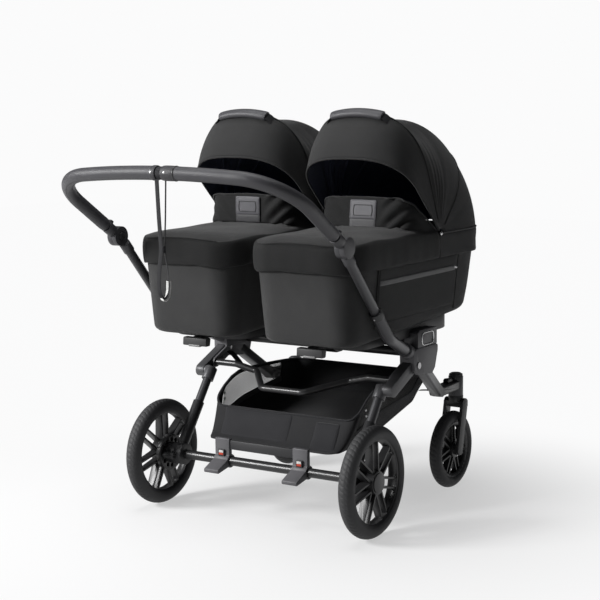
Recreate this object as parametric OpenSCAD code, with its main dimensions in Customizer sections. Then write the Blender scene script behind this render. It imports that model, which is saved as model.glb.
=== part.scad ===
// Twin pram: two carrycots side by side on one folding frame.
// X is to the right, Y is to the front, Z is up; the floor is at Z = 0.

/* [Stance] */
// Rear axle to front axle
wheelbase = 549; // [500:1:600]
// Between the rear wheel centres
rear_track = 674; // [664:1:700]
// Between the front wheel centres
front_track = 550; // [540:1:556]

/* [Wheels] */
// Rear tyre outer diameter
rear_wheel_d = 290; // [280:1:300]
// Rear tyre section width
rear_tyre_w = 42; // [38:1:44]
// Front tyre outer diameter
front_wheel_d = 220; // [204:1:228]
// Front tyre section width
front_tyre_w = 36; // [30:1:40]
// Depth from tread to the rim bed
tyre_depth = 31; // [26:1:34]
// Pairs of spokes in each rim
spoke_pairs = 7; // [5:1:9]
// Spoke thickness
spoke_t = 5; // [3:0.5:7]
// Rear hub radius
rear_hub_r = 30; // [24:1:36]
// Front hub radius
front_hub_r = 23; // [18:1:28]
// Brake drum radius
drum_r = 50; // [46:1:60]
// Brake drum thickness
drum_t = 14; // [12:1:16]
// Rear stub axle radius
rear_pin_r = 6; // [5:0.5:8]
// Front axle radius
front_pin_r = 5; // [4:0.5:7]

/* [Rear axle and brake] */
// Axle tube radius
axle_tube_r = 12.5; // [10:0.5:15]
// Axle block radius
block_r = 29; // [24:1:32]
// Rear leg radius
leg_r = 12; // [10:0.5:13]
// Leg sleeve wall
sleeve_wall = 3.2; // [2:0.1:5]
// Leg sleeve length from the axle centre
leg_sleeve_len = 158; // [130:1:180]
// Brake pedal width
pedal_w = 47; // [36:1:60]
// Brake pedal middle to the centre line
pedal_x = 125; // [110:1:150]
// Brake pin radius
brake_pin_r = 4; // [3:0.5:5]
// Brake pin distance from the axle
brake_pin_ring = 36; // [34:1:38]

/* [Frame] */
// Rear leg distance from the centre line
leg_x = 278; // [274:1:282]
// Fold pin, forward of the rear axle
fold_y = 262; // [250:1:275]
// Fold pin height
fold_z = 402; // [390:1:410]
// Length of each rear leg to its bracket
leg_len = 256; // [240:1:270]
// Lean of the rear legs
leg_lean = 53.9; // [50:0.1:58]
// Cross tube radius
cross_r = 12.5; // [10:0.5:14]
// Front leg width
front_leg_w = 34; // [28:1:38]
// Front leg height
front_leg_h = 28; // [24:1:32]
// Caster housing radius
housing_r = 21; // [18:1:25]
// Caster trail
caster_trail = 30; // [20:1:40]
// Swivel stem radius
stem_r = 9; // [7:0.5:11]
// Fold bow rod radius
bow_r = 9; // [7:0.5:10]

/* [Handle] */
// Handle tube distance from the centre line
handle_x = 345; // [340:1:352]
// Handle tube radius
handle_tube_r = 12.5; // [11:0.5:13.5]
// Handle sleeve radius
handle_sleeve_r = 15.5; // [14.5:0.5:17]
// Hinge, behind the rear axle
hinge_back = 147; // [135:1:165]
// Hinge height
hinge_z = 755; // [735:1:775]
// Hinge disc radius
hinge_r = 26; // [22:1:30]
// Handlebar core radius
bar_r = 13; // [11:0.5:14]
// Grip cover thickness
grip_t = 4; // [3:0.5:5]
// Rise of the handlebar plane
handle_rise = 34; // [32:1:38]
// Straight length of each handlebar arm
arm_len = 178; // [168:1:188]
// Handlebar corner radius
corner_r = 140; // [125:1:150]
// Bow angle of the crossbar at each end
bar_bow = 8; // [6:0.1:9]
// Wrist strap width
strap_w = 14; // [10:1:18]
// Wrist strap hanging length
strap_len = 300; // [240:1:330]

/* [Carrycots] */
// Cot middle to the centre line
cot_x = 182; // [179:0.5:184]
// Cot set back from its own drawing, towards the handle
cot_back = 12; // [4:1:16]
// Cot rim half width
rim_w = 160; // [154:0.5:161]
// Foot end of the rim, behind the rear axle
rim_foot = 88; // [80:1:92]
// How far the shell's foot end leans in at its floor
foot_lean = 30; // [20:1:40]
// Head end of the rim, forward of the rear axle
rim_head = 698; // [690:1:708]
// Rim height
rim_z = 742; // [735:1:750]
// Height of the shell's bottom at the foot
floor_z = 491; // [488:1:500]
// Shell wall
shell_t = 7; // [5:0.5:9]
// Fabric thickness
fabric_t = 4; // [3:0.5:5]
// Skirt height below the rim
skirt_h = 58; // [50:1:62]
// Wind flap height above the rim
flap_h = 105; // [80:1:125]
// Mattress thickness
mattress_t = 40; // [25:1:50]

/* [Hoods] */
// Hood pivot, forward of the rear axle
hood_y = 365; // [355:1:372]
// Hood pivot height above the rim
hood_up = 6; // [4:1:10]
// Hood radius at the back
hood_r = 338; // [330:1:344]
// Hood radius at the front bow
visor_r = 353; // [345:1:360]
// Front bow angle from level
bow_angle = 114; // [110:0.5:118]
// Squareness of the front bow, 1 for an oval
bow_square = 0.75; // [0.65:0.05:1]

/* [Basket] */
// Basket half width at the floor
basket_w = 205; // [185:1:215]
// Basket half width at the top
basket_top_w = 230; // [215:1:240]
// Basket wall thickness
basket_t = 4; // [3:0.5:6]

/* [Hidden] */
$fn = 48;
run_gap = 0.05;
slide_gap = 0.3;
skin_gap = 0.3;
rear_z = rear_wheel_d / 2;
front_z = front_wheel_d / 2;
wheel_x = rear_track / 2;
front_x = front_track / 2;
caster_y = wheelbase + caster_trail;
block_out = wheel_x - 34;
block_in = leg_x - 23;
hub_in = 284;
hub_out = 328;
slot_in = 291.7;
slot_out = 318.3;
leg_dir = [0, cos(leg_lean), sin(leg_lean)];
knee = [0, leg_len * cos(leg_lean), rear_z + leg_len * sin(leg_lean)];
fold_pin = [0, fold_y, fold_z];
leg_sleeve_r = leg_r + slide_gap + sleeve_wall;
hinge = [0, -hinge_back, hinge_z];
sleeve_top = [handle_x, 6, 580];
tube_dir = unit([0, -hinge_back - sleeve_top.y, hinge_z - sleeve_top.z]);
elbow_at = sleeve_top - tube_dir * 102;
sleeve_foot = [306, 246, 438];
grip_r = bar_r + grip_t;
arm_x = handle_x + 7;
arm_start = hinge_r + 1.5;
arc_r = (arm_x - corner_r + corner_r * sin(bar_bow)) / sin(bar_bow);
arc_c = arm_len + corner_r * cos(bar_bow) - arc_r * cos(bar_bow);
bar_s = arc_c + arc_r;
strap_x = 19;
strap_s = arc_c + sqrt(arc_r * arc_r - strap_x * strap_x);
bar_back = -hinge_back - cos(handle_rise) * bar_s - grip_r;
hood_z = rim_z + hood_up;
cot_front = rim_head + skin_gap + fabric_t + 1 - cot_back;
origin_y = -(cot_front + bar_back) / 2;
base_z = floor_z - 16;
base_w = 118;
ledge_z = base_z - slide_gap;
bow_pivot = [217, 190, 370];
cross_a = [300, 455];
cross_b = [345, 420];
leg_root = [300, 318, 392];
leg_knuckle = [281, 455, 294];
leg_end = [front_x, caster_y, leg_knuckle.z];
housing_low = 262;

// Small helpers for directions, rounded outlines and thick sheets.
function unit(v) = v / norm(v);
function mix(a, b, t) = a + (b - a) * t;
function turn(a, b, c) = acos(unit(b - a) * unit(c - b));
function tangent(a, b, c, bend) = bend * tan(turn(a, b, c) / 2);
function arc(c, r, a0, a1, n) =
  [for (i = [0:n]) let (a = mix(a0, a1, i / n)) [c.x + r * cos(a), c.y + r * sin(a)]];
function wrap(a) = a > 180 ? a - 360 : a < -180 ? a + 360 : a;
function corner(p, q, s, r) =
  let (u = unit(p - q), v = unit(s - q), half = acos(u * v) / 2)
  let (c = q + unit(u + v) * r / sin(half))
  let (f = q + u * r / tan(half) - c, g = q + v * r / tan(half) - c)
  let (a0 = atan2(f.y, f.x), d = wrap(atan2(g.y, g.x) - a0))
  arc(c, r, a0, a0 + d, 5);
function rounded(pts, r) =
  let (n = len(pts))
  [for (i = [0:n - 1]) each corner(pts[(i + n - 1) % n], pts[i], pts[(i + 1) % n], r)];

module on_side(side) {
  if (side < 0) mirror([1, 0, 0]) children();
  else children();
}

module place() {
  translate([0, origin_y, 0]) children();
}

module frame(at, ex, ey, ez) {
  multmatrix([
    [ex.x, ey.x, ez.x, at.x],
    [ex.y, ey.y, ez.y, at.y],
    [ex.z, ey.z, ez.z, at.z],
    [0, 0, 0, 1]
  ]) children();
}

// Local x, y and z become Y, Z and X, so round work turns about the X axis.
module about_x(at) {
  frame(at, [0, 1, 0], [0, 0, 1], [1, 0, 0]) children();
}

module plate_x(pts, x0, x1) {
  about_x([x0, 0, 0]) linear_extrude(height = x1 - x0) polygon(pts);
}

module disc_x(y, z, r, x0, x1) {
  about_x([x0, y, z]) cylinder(h = x1 - x0, r = r);
}

module rod(p, q, r) {
  d = q - p;
  translate(p) rotate([0, acos(d.z / norm(d)), atan2(d.y, d.x)]) cylinder(h = norm(d), r = r);
}

function bend_arc(a, b, c, bend, n) =
  let (u = unit(b - a), v = unit(c - b), t = turn(a, b, c), inward = unit(v - u * (u * v)))
  let (at = b - u * tangent(a, b, c, bend) + inward * bend)
  [for (i = [0:n]) at - inward * bend * cos(t * i / n) + u * bend * sin(t * i / n)];
function bend_path(pts, bend, n) = concat(
  [pts[0]],
  [for (i = [1:len(pts) - 2]) each bend_arc(pts[i - 1], pts[i], pts[i + 1], bend, n)],
  [pts[len(pts) - 1]]
);

// A round rod along a path; ref is a direction that the path never takes.
function sweep_rings(path, r, ref, n) =
  let (m = len(path))
  [for (i = [0:m - 1])
    let (t = unit(path[min(i + 1, m - 1)] - path[max(i - 1, 0)]), e = unit(cross(ref, t)), f = cross(t, e))
    [for (k = [0:n - 1]) path[i] + r * (cos(360 * k / n) * e + sin(360 * k / n) * f)]];

module sweep(path, r, ref, n) {
  stack(sweep_rings(path, r, ref, n), path[0], path[len(path) - 1]);
}

// A hollow sleeve along a path: outer rings out, inner rings back.
module sleeve(path, r, bore, ref, n) {
  out = sweep_rings(path, r, ref, n);
  in = sweep_rings(path, bore, ref, n);
  m = len(path);
  rings = concat(out, [for (i = [m - 1:-1:0]) in[i]]);
  k = len(rings);
  faces = [for (j = [0:k - 1], i = [0:n - 1])
    let (a = j * n + i, b = j * n + (i + 1) % n, c = ((j + 1) % k) * n + i, d = ((j + 1) % k) * n + (i + 1) % n)
    each [[a, c, b], [b, c, d]]];
  polyhedron([for (r = rings) each r], faces, convexity = 8);
}

// A slot-ended plate between two points of the YZ plane.
module link_x(p, q, r, x0, x1) {
  a = atan2(q.y - p.y, q.x - p.x);
  plate_x(concat(arc(p, r, a + 90, a + 270, 14), arc(q, r, a - 90, a + 90, 14)), x0, x1);
}

// A box-section bar with rounded edges from p to q.
module bar(p, q, w, h) {
  d = unit(q - p);
  ex = unit([1, 0, 0] - d * d.x);
  frame(p, ex, cross(d, ex), d) linear_extrude(height = norm(q - p))
    polygon(rounded([[-w / 2, -h / 2], [w / 2, -h / 2], [w / 2, h / 2], [-w / 2, h / 2]], 6));
}

// A sheet with two faces given as equal grids of points, rows along the first index.
module sheet(outer, inner) {
  rows = len(outer);
  cols = len(outer[0]);
  k = rows * cols;
  pts = concat([for (row = outer) each row], [for (row = inner) each row]);
  faces = concat(
    [for (j = [0:rows - 2], i = [0:cols - 2]) let (a = j * cols + i)
      each [[a, a + cols, a + 1], [a + 1, a + cols, a + cols + 1]]],
    [for (j = [0:rows - 2], i = [0:cols - 2]) let (a = k + j * cols + i)
      each [[a, a + 1, a + cols], [a + 1, a + cols + 1, a + cols]]],
    [for (i = [0:cols - 2], j = [0, rows - 1]) let (a = j * cols + i, b = a + k)
      each j == 0 ? [[a, a + 1, b], [a + 1, b + 1, b]] : [[a, b, a + 1], [a + 1, b, b + 1]]],
    [for (j = [0:rows - 2], i = [0, cols - 1]) let (a = j * cols + i, b = a + k)
      each i == 0 ? [[a, b, a + cols], [a + cols, b, b + cols]] : [[a, a + cols, b], [a + cols, b + cols, b]]]
  );
  polyhedron(pts, faces, convexity = 8);
}

// Closed rings stacked into one solid, with a raised or sunk middle point at each end.
module stack(rings, low, high) {
  n = len(rings[0]);
  m = len(rings);
  pts = concat([for (r = rings) each r], [low, high]);
  faces = concat(
    [for (j = [0:m - 2], i = [0:n - 1]) let (a = j * n + i, b = j * n + (i + 1) % n)
      each [[a, a + n, b], [b, a + n, b + n]]],
    [for (i = [0:n - 1]) [m * n, i, (i + 1) % n]],
    [for (i = [0:n - 1]) [m * n + 1, (m - 1) * n + (i + 1) % n, (m - 1) * n + i]]
  );
  polyhedron(pts, faces, convexity = 8);
}

// Plan of a cot: round foot corners and a half-oval head end.
function plan(w, foot, r, head, oval) = concat(
  arc([w - r, foot + r], r, -90, 0, 6),
  [for (i = [0:16]) let (a = 180 * i / 16) [w * cos(a), head - oval + oval * sin(a)]],
  arc([r - w, foot + r], r, 180, 270, 6)
);
function raise(p, z, rise) = [for (q = p) [q.x, q.y, z + rise * max(0, q.y)]];

// Wheels
module tyre(d, w) {
  r = d / 2;
  rotate_extrude($fn = 96) difference() {
    translate([r - w / 2, 0]) circle(w / 2);
    translate([0, -w]) square([r - tyre_depth, 2 * w]);
    for (z = [-8, 0, 8]) translate([r - 1.6, z - 0.8]) square([4, 1.6]);
  }
}

module rim(d, hub_r, half) {
  bed = d / 2 - tyre_depth;
  rotate_extrude($fn = 96) polygon([
    [bed - 8, -half + 4], [bed, -half], [bed, half], [bed - 8, half - 4], [bed - 5, 3], [bed - 5, -3]
  ]);
  for (k = [0:spoke_pairs - 1], s = [-1, 1]) {
    a = 360 * (k + 0.25) / spoke_pairs;
    b = a + s * 133 / spoke_pairs;
    p = (hub_r - 2) * [cos(a), sin(a)];
    q = (bed - 5.5) * [cos(b), sin(b)];
    d2 = q - p;
    translate([p.x, p.y, 0]) rotate([90, 0, atan2(d2.y, d2.x)])
      translate([0, 0, -spoke_t / 2]) linear_extrude(height = spoke_t)
        polygon([[0, 3 - half], [norm(d2), 6 - half], [norm(d2), half - 6], [0, half - 3]]);
  }
}

module rear_tyre(side) {
  color([0.12, 0.12, 0.12]) on_side(side) about_x([wheel_x, 0, rear_z]) tyre(rear_wheel_d, rear_tyre_w);
}

module rear_rim(side) {
  color([0.2, 0.2, 0.21]) on_side(side) about_x([wheel_x, 0, rear_z]) difference() {
    union() {
      rim(rear_wheel_d, rear_hub_r, 16);
      translate([0, 0, -18]) cylinder(h = 37, r = rear_hub_r);
      translate([0, 0, 19]) cylinder(h = 3, r = rear_hub_r - 4);
      translate([0, 0, -18 - drum_t]) cylinder(h = drum_t, r = drum_r);
    }
    translate([0, 0, -60]) cylinder(h = 72, r = rear_pin_r + run_gap);
    for (k = [0:11]) rotate(30 * k) translate([brake_pin_ring, 0, -18 - drum_t - 1])
      cylinder(h = 10, r = brake_pin_r + 2, $fn = 24);
  }
}

module front_tyre(side) {
  color([0.12, 0.12, 0.12]) on_side(side) about_x([front_x, wheelbase, front_z])
    tyre(front_wheel_d, front_tyre_w);
}

module front_rim(side) {
  color([0.2, 0.2, 0.21]) on_side(side) about_x([front_x, wheelbase, front_z]) difference() {
    union() {
      rim(front_wheel_d, front_hub_r, 13);
      translate([0, 0, -front_tyre_w / 2 - 3.5]) cylinder(h = front_tyre_w + 7, r = front_hub_r - 8);
      translate([0, 0, -15]) cylinder(h = 30, r = front_hub_r);
    }
    translate([0, 0, -40]) cylinder(h = 80, r = front_pin_r + run_gap);
  }
}

// Rear axle, sleeves and brake
module axle_tube() {
  color([0.08, 0.08, 0.09]) disc_x(0, rear_z, axle_tube_r, -block_in - 12, block_in + 12);
}

module axle_block(side) {
  at = [leg_x, 0, rear_z];
  color([0.15, 0.15, 0.16]) on_side(side) difference() {
    union() {
      disc_x(0, rear_z, block_r, block_in, block_out);
      rod(at, at + leg_dir * leg_sleeve_len, leg_sleeve_r);
      disc_x(-brake_pin_ring, rear_z, brake_pin_r + 5, leg_x - 10, block_out);
      disc_x(0, rear_z, rear_pin_r, block_out - 1, wheel_x + 11);
    }
    disc_x(0, rear_z, axle_tube_r, block_in - 1, block_in + 12);
    rod(at + leg_dir * 45, at + leg_dir * (leg_sleeve_len + 5), leg_r + slide_gap);
    disc_x(-brake_pin_ring, rear_z, brake_pin_r + run_gap, leg_x - 20, block_out + 1);
  }
}

module suspension_buffers() {
  color([0.25, 0.2, 0.15]) for (side = [-1, 1]) {
    at = [side * leg_x, 0, rear_z];
    rod(at + leg_dir * 45, at + leg_dir * (75 - slide_gap), leg_r - 1.5);
  }
}

module brake_pedals() {
  color([0.28, 0.28, 0.3]) for (side = [-1, 1]) on_side(side) difference() {
    union() {
      disc_x(0, rear_z, axle_tube_r + 6, pedal_x - pedal_w / 2, pedal_x + pedal_w / 2);
      plate_x(rounded([[-9, rear_z], [4, rear_z], [4, rear_z + 62], [-9, rear_z + 62]], 3),
        pedal_x - pedal_w / 2, pedal_x + pedal_w / 2);
      plate_x(rounded([[-8, rear_z + 10], [-8, rear_z - 14], [-62, rear_z - 24], [-62, rear_z - 13]], 4),
        pedal_x - pedal_w / 2, pedal_x + pedal_w / 2);
    }
    disc_x(0, rear_z, axle_tube_r + slide_gap, 0, wheel_x);
  }
}

module brake_link() {
  x = pedal_x - pedal_w / 2;
  color([0.1, 0.1, 0.1]) translate([-x, -6, rear_z + 33]) cube([2 * x, 7, 25]);
}

module brake_pin(side) {
  color([0.7, 0.7, 0.7]) on_side(side)
    disc_x(-brake_pin_ring, rear_z, brake_pin_r, block_out - 32, block_out - 2);
}

// Rear legs and fold joint
module rear_leg(side) {
  at = [leg_x, 0, rear_z];
  color([0.3, 0.3, 0.32]) on_side(side) rod(at + leg_dir * 75, at + leg_dir * (leg_len + 2), leg_r);
}

module leg_brackets() {
  at = [leg_x, 0, rear_z];
  color([0.16, 0.16, 0.17]) for (side = [-1, 1]) on_side(side) difference() {
    union() {
      link_x([fold_pin.y, fold_pin.z], [knee.y, knee.z], 17, slot_in + slide_gap, slot_out - slide_gap);
      disc_x(knee.y, knee.z, 15.5, leg_x, slot_out - slide_gap - 2);
      rod(at + leg_dir * (leg_len - 28), at + leg_dir * (leg_len + 8), leg_r + 5);
    }
    disc_x(fold_pin.y, fold_pin.z, 5 + run_gap, hub_in - 10, hub_out + 10);
    rod(at + leg_dir * (leg_len - 40), at + leg_dir * (leg_len + 2), leg_r);
  }
}

module pivot_pins() {
  color([0.6, 0.6, 0.62]) for (side = [-1, 1]) on_side(side) {
    disc_x(fold_pin.y, fold_pin.z, 5, hub_in + 1, hub_out);
    disc_x(fold_pin.y, fold_pin.z, 9, hub_out, hub_out + 3);
  }
}

// Side hubs with the frame tubes and legs
module leg_bar() {
  bar(leg_root, leg_knuckle, front_leg_w, front_leg_h);
}

module side_hub(side) {
  d = unit(sleeve_foot - elbow_at);
  pts = [[238, 442], [258, 447], [370, 447], [370, 430], [354, 384], [338, 370], [300, 374], [262, 377], [240, 392]];
  color([0.17, 0.17, 0.18]) on_side(side) difference() {
    union() {
      plate_x(rounded(pts, 7), hub_in, hub_out);
      rod(sleeve_foot - d * 34, sleeve_foot + d * 6, handle_sleeve_r + 4.5);
      link_x([fold_pin.y, fold_pin.z], [bow_pivot.y, bow_pivot.z], 14, hub_in, slot_in);
      plate_x(rounded([[284, 440], [316, 440], [316, 470], [284, 470]], 10), hub_in, hub_in + 12);
    }
    link_x([fold_pin.y, fold_pin.z], [knee.y, knee.z], 18.5, slot_in, slot_out);
    plate_x([[fold_y - 60, fold_z + 15], [fold_y + 18.5, fold_z], [fold_y + 18.5, 340], [fold_y - 60, 340]],
      slot_in, slot_out);
    disc_x(fold_pin.y, fold_pin.z, 5, hub_in - 1, hub_out + 1);
    disc_x(bow_pivot.y, bow_pivot.z, bow_r + run_gap, hub_in - 1, slot_in + 1);
    disc_x(cross_a.x, cross_a.y, cross_r, hub_in - 1, hub_in + 6);
    disc_x(cross_b.x, cross_b.y, cross_r, hub_in - 1, hub_in + 6);
    rod(elbow_at, sleeve_foot, handle_sleeve_r);
    leg_bar();
  }
}

module handle_sleeve(side) {
  d = unit(elbow_at - sleeve_top);
  color([0.3, 0.3, 0.31]) on_side(side) difference() {
    union() {
      sweep(bend_path([sleeve_top + d * 4, elbow_at, sleeve_foot], 60, 6), handle_sleeve_r, [1, 0, 0], 18);
      rod(sleeve_top, sleeve_top + d * 22, handle_sleeve_r + 2);
    }
    rod(sleeve_top - d * 5, sleeve_top + d * 86, handle_tube_r + slide_gap);
  }
}

module cross_tubes() {
  color([0.1, 0.1, 0.11]) for (p = [cross_a, cross_b]) disc_x(p.x, p.y, cross_r, -hub_in - 6, hub_in + 6);
}

module center_bracket() {
  color([0.13, 0.13, 0.14]) difference() {
    plate_x(rounded([[280, 470], [330, 468], [366, 430], [366, 402], [330, 402], [280, 436]], 8), -30, 30);
    disc_x(cross_a.x, cross_a.y, cross_r, -40, 40);
    disc_x(cross_b.x, cross_b.y, cross_r, -40, 40);
  }
}

module cot_adapters() {
  top = ledge_z + 20;
  outer = [[262, 447], [369, 447], [369, top - 2], [350, top], [275, top], [262, top - 6]];
  inner = [[284, ledge_z - 12], [330, ledge_z - 12], [330, top - 2], [290, top - 2], [284, top - 6]];
  edge = cot_x + base_w + 0.5;
  color([0.2, 0.2, 0.21]) for (side = [-1, 1]) on_side(side) {
    difference() {
      plate_x(rounded(outer, 2.5), hub_in, hub_out - 2);
      translate([hub_in - 1, 250, ledge_z]) cube([edge - hub_in + 1, 130, 60]);
      disc_x(cross_a.x, cross_a.y, 23, hub_in - 1, hub_in + 14);
    }
    difference() {
      plate_x(rounded(inner, 2.5), 30, cot_x - base_w + 8);
      translate([cot_x - base_w - 0.5, 250, ledge_z]) cube([60, 130, 60]);
      disc_x(cross_a.x, cross_a.y, cross_r, 0, cot_x);
    }
  }
}

module front_leg(side) {
  color([0.45, 0.45, 0.47]) on_side(side) difference() {
    union() {
      leg_bar();
      disc_x(leg_knuckle.y, leg_knuckle.z, front_leg_h / 2, leg_knuckle.x - front_leg_w / 2 - 1,
        leg_knuckle.x + front_leg_w / 2);
      bar(leg_knuckle + [0, -4, 0], leg_end, front_leg_w, front_leg_h);
    }
    translate([leg_end.x, leg_end.y, 200]) cylinder(h = 200, r = housing_r);
  }
}

module caster_housing(side) {
  color([0.2, 0.19, 0.18]) on_side(side) translate([front_x, caster_y, housing_low]) difference() {
    union() {
      cylinder(h = 56, r = housing_r);
      translate([0, 0, 56]) cylinder(h = 6, r = housing_r - 1.5);
      translate([0, 0, 62]) cylinder(h = 3, r = housing_r - 6);
    }
    translate([0, 0, -1]) cylinder(h = 45, r = stem_r + run_gap);
  }
}

module caster_fork(side) {
  half = front_tyre_w / 2 + 4;
  color([0.15, 0.15, 0.16]) on_side(side) {
    translate([front_x, caster_y, 246]) cylinder(h = 56, r = stem_r);
    translate([front_x, caster_y, 244]) cylinder(h = housing_low - slide_gap - 244, r = housing_r + 0.4);
    translate([front_x - half - 8, caster_y - 17, 230]) cube([2 * half + 16, 34, 17]);
    link_x([caster_y, 240], [wheelbase, front_z], 15, front_x - half - 9, front_x - half);
    link_x([caster_y, 240], [wheelbase, front_z], 15, front_x + half, front_x + half + 9);
    disc_x(wheelbase, front_z, front_pin_r, front_x - half - 4, front_x + half + 4);
  }
}

module swivel_lock(side) {
  z = leg_end.z + front_leg_h / 2 + slide_gap;
  y0 = caster_y - housing_r - 46;
  y1 = caster_y - housing_r - 18;
  color([0.08, 0.08, 0.08]) on_side(side) translate([front_x - 6, 0, 0])
    plate_x(rounded([[y0, z], [y1, z], [y1, z + 9], [y0 + 6, z + 11], [y0, z + 6]], 2), 0, 16);
}

module fold_bow() {
  half = [[hub_in + 6, bow_pivot.y, bow_pivot.z], bow_pivot, [152, 199, 354], [67, 99, 331]];
  other = [for (i = [3:-1:0]) [-half[i].x, half[i].y, half[i].z]];
  color([0.06, 0.06, 0.06]) sweep(bend_path(concat(half, other), 20, 5), bow_r, [0, 0.4, -0.92], 14);
}

// Handle
module handle_tube(side) {
  x0 = handle_x - 7;
  x1 = handle_x + 6;
  h = [handle_x, hinge.y, hinge.z];
  color([0.35, 0.35, 0.36]) on_side(side) difference() {
    union() {
      rod(sleeve_top - tube_dir * 35, h - tube_dir * (hinge_r + 1), handle_tube_r);
      rod(h - tube_dir * (hinge_r + 30), h - tube_dir * (hinge_r + 1), handle_tube_r + 2.5);
      disc_x(hinge.y, hinge.z, hinge_r, x0, x1);
      intersection() {
        rod(h - tube_dir * (hinge_r + 12), h, handle_tube_r + 1.5);
        translate([x0, -400, 500]) cube([x1 - x0, 600, 500]);
      }
    }
    disc_x(hinge.y, hinge.z, 10 + slide_gap, x0 - 1, x0 + 9.5);
  }
}

module handle_button(side) {
  color([0.1, 0.1, 0.1]) on_side(side)
    disc_x(hinge.y, hinge.z, 10, handle_x - 11, handle_x - 1.5);
}

module in_handle_plane() {
  c = cos(handle_rise);
  s = sin(handle_rise);
  frame(hinge, [1, 0, 0], [0, -c, s], [0, -s, -c]) children();
}

function bar_half() = concat(
  [[arm_x, arm_start + 2, 0], [arm_x, arm_len / 2, 0]],
  [for (i = [0:8]) let (a = (90 - bar_bow) * i / 8)
    [arm_x - corner_r + corner_r * cos(a), arm_len + corner_r * sin(a), 0]],
  [for (i = [1:5]) let (a = 90 - bar_bow * (1 - i / 6)) [arc_r * cos(a), arc_c + arc_r * sin(a), 0]]
);

function across(path) = [for (i = [len(path) - 1:-1:0]) [-path[i].x, path[i].y, 0]];

module handlebar() {
  x0 = handle_x + 6.3;
  half = bar_half();
  color([0.2, 0.2, 0.21]) in_handle_plane() {
    sweep(concat(half, [[0, bar_s, 0]], across(half)), bar_r - run_gap, [0, 0, 1], 16);
    for (side = [-1, 1]) on_side(side) difference() {
      union() {
        rod([arm_x, arm_start, 0], [arm_x, arm_start + 26, 0], bar_r + 3);
        intersection() {
          rod([arm_x, 0, 0], [arm_x, arm_start + 10, 0], bar_r + 2);
          translate([x0, 0, -100]) cube([14.5, 200, 200]);
        }
        translate([x0, 0, 0]) rotate([0, 90, 0]) cylinder(h = 14.5, r = hinge_r);
      }
      rod([arm_x, arm_start + 1.9, 0], [arm_x, arm_start + 40, 0], bar_r);
    }
  }
}

module grip_cover() {
  half = bar_half();
  turns = [for (i = [2:len(half) - 1]) half[i]];
  start = [arm_x, arm_start + 30, 0];
  last = half[len(half) - 1];
  right_end = strap_x + strap_w / 2 + 2;
  left_end = strap_w / 2 + 2 - strap_x;
  right = concat([start], [for (q = turns) if (q.x > right_end + 3) q],
    [[right_end, mix(bar_s, last.y, right_end / last.x), 0]]);
  left = concat([start], turns, [[0, bar_s, 0], [left_end, mix(bar_s, last.y, -left_end / last.x), 0]]);
  color([0.22, 0.21, 0.22]) in_handle_plane() {
    sleeve(right, grip_r, bar_r, [0, 0, 1], 16);
    sleeve(across(left), grip_r, bar_r, [0, 0, 1], 16);
  }
}

module wrist_strap() {
  y = hinge.y - cos(handle_rise) * strap_s;
  z = hinge.z + sin(handle_rise) * strap_s;
  x0 = strap_x - strap_w / 2;
  out = [[y - 8, z - 12], [y - 8, z - strap_len + 90], [y - 15, z - strap_len + 45], [y - 14, z - strap_len],
    [y + 14, z - strap_len], [y + 15, z - strap_len + 45], [y + 8, z - strap_len + 90], [y + 8, z - 12]];
  hole = [[y - 5, z - 15], [y - 5, z - strap_len + 91], [y - 12, z - strap_len + 45], [y - 11, z - strap_len + 3],
    [y + 11, z - strap_len + 3], [y + 12, z - strap_len + 45], [y + 5, z - strap_len + 91], [y + 5, z - 15]];
  color([0.1, 0.1, 0.1]) difference() {
    union() {
      disc_x(y, z, grip_r, x0, x0 + strap_w);
      plate_x(rounded(out, 3), x0, x0 + strap_w);
    }
    plate_x(hole, x0 - 1, x0 + strap_w + 1);
    disc_x(y, z, bar_r + slide_gap, x0 - 1, x0 + strap_w + 1);
  }
}

// Basket: a shallow tub that rises to the front
function box_plan(w, y0, y1, r) = concat(
  arc([w - r, y1 - r], r, 0, 90, 4), arc([r - w, y1 - r], r, 90, 180, 4), [[-w, (y0 + y1) / 2]],
  arc([r - w, y0 + r], r, 180, 270, 4), arc([w - r, y0 + r], r, -90, 0, 4), [[w, (y0 + y1) / 2]]
);
function basket_floor(y) = 192 + 0.25 * max(0, y - 180);
function basket_top(y) = 345 - (y < 245 ? 77 * pow((245 - y) / 145, 2) : 12 * pow((y - 245) / 275, 2));
function basket_ring(t, in) =
  let (w = mix(basket_w, basket_top_w, t) - in, y0 = mix(24, 100, t) + in, y1 = mix(470, 522, t) - in)
  [for (q = box_plan(w, y0, y1, 30)) [q.x, q.y, mix(basket_floor(q.y), basket_top(q.y), t)]];
function leg_side(y) =
  mix(leg_knuckle.x, leg_end.x, (y - leg_knuckle.y) / (leg_end.y - leg_knuckle.y)) - front_leg_w / 2 - 0.05;
function lift(r, h) = [for (q = r) q + [0, 0, h]];

module basket() {
  rings = concat(
    [for (t = [0, 0.5, 1]) basket_ring(t, 0)],
    [for (t = [1, 0.5]) basket_ring(t, basket_t)],
    [lift(basket_ring(0, basket_t + 2), basket_t)]
  );
  rim_at = basket_top_w - 3;
  color([0.16, 0.16, 0.17]) {
    stack(rings, [0, 220, basket_floor(220)], [0, 220, basket_floor(220) + basket_t]);
    for (side = [-1, 1]) on_side(side) {
      frame([0, 294, 0], [1, 0, 0], [0, 0, 1], [0, -1, 0]) translate([0, 0, -10]) linear_extrude(height = 20)
        polygon([[rim_at - 6, 332], [hub_in + 6, 370.5], [hub_in + 6, 373.2], [hub_in, 373.2], [rim_at - 6, 336]]);
      translate([0, 0, leg_knuckle.z - 6]) linear_extrude(height = 4)
        polygon([[basket_w + 6, 472], [leg_side(472), 472], [leg_side(488), 488], [basket_w + 6, 488]]);
    }
  }
}

// Carrycots, drawn about the cot's own middle
module at_cot(side) {
  translate([side * cot_x, -cot_back, 0]) children();
}

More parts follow.
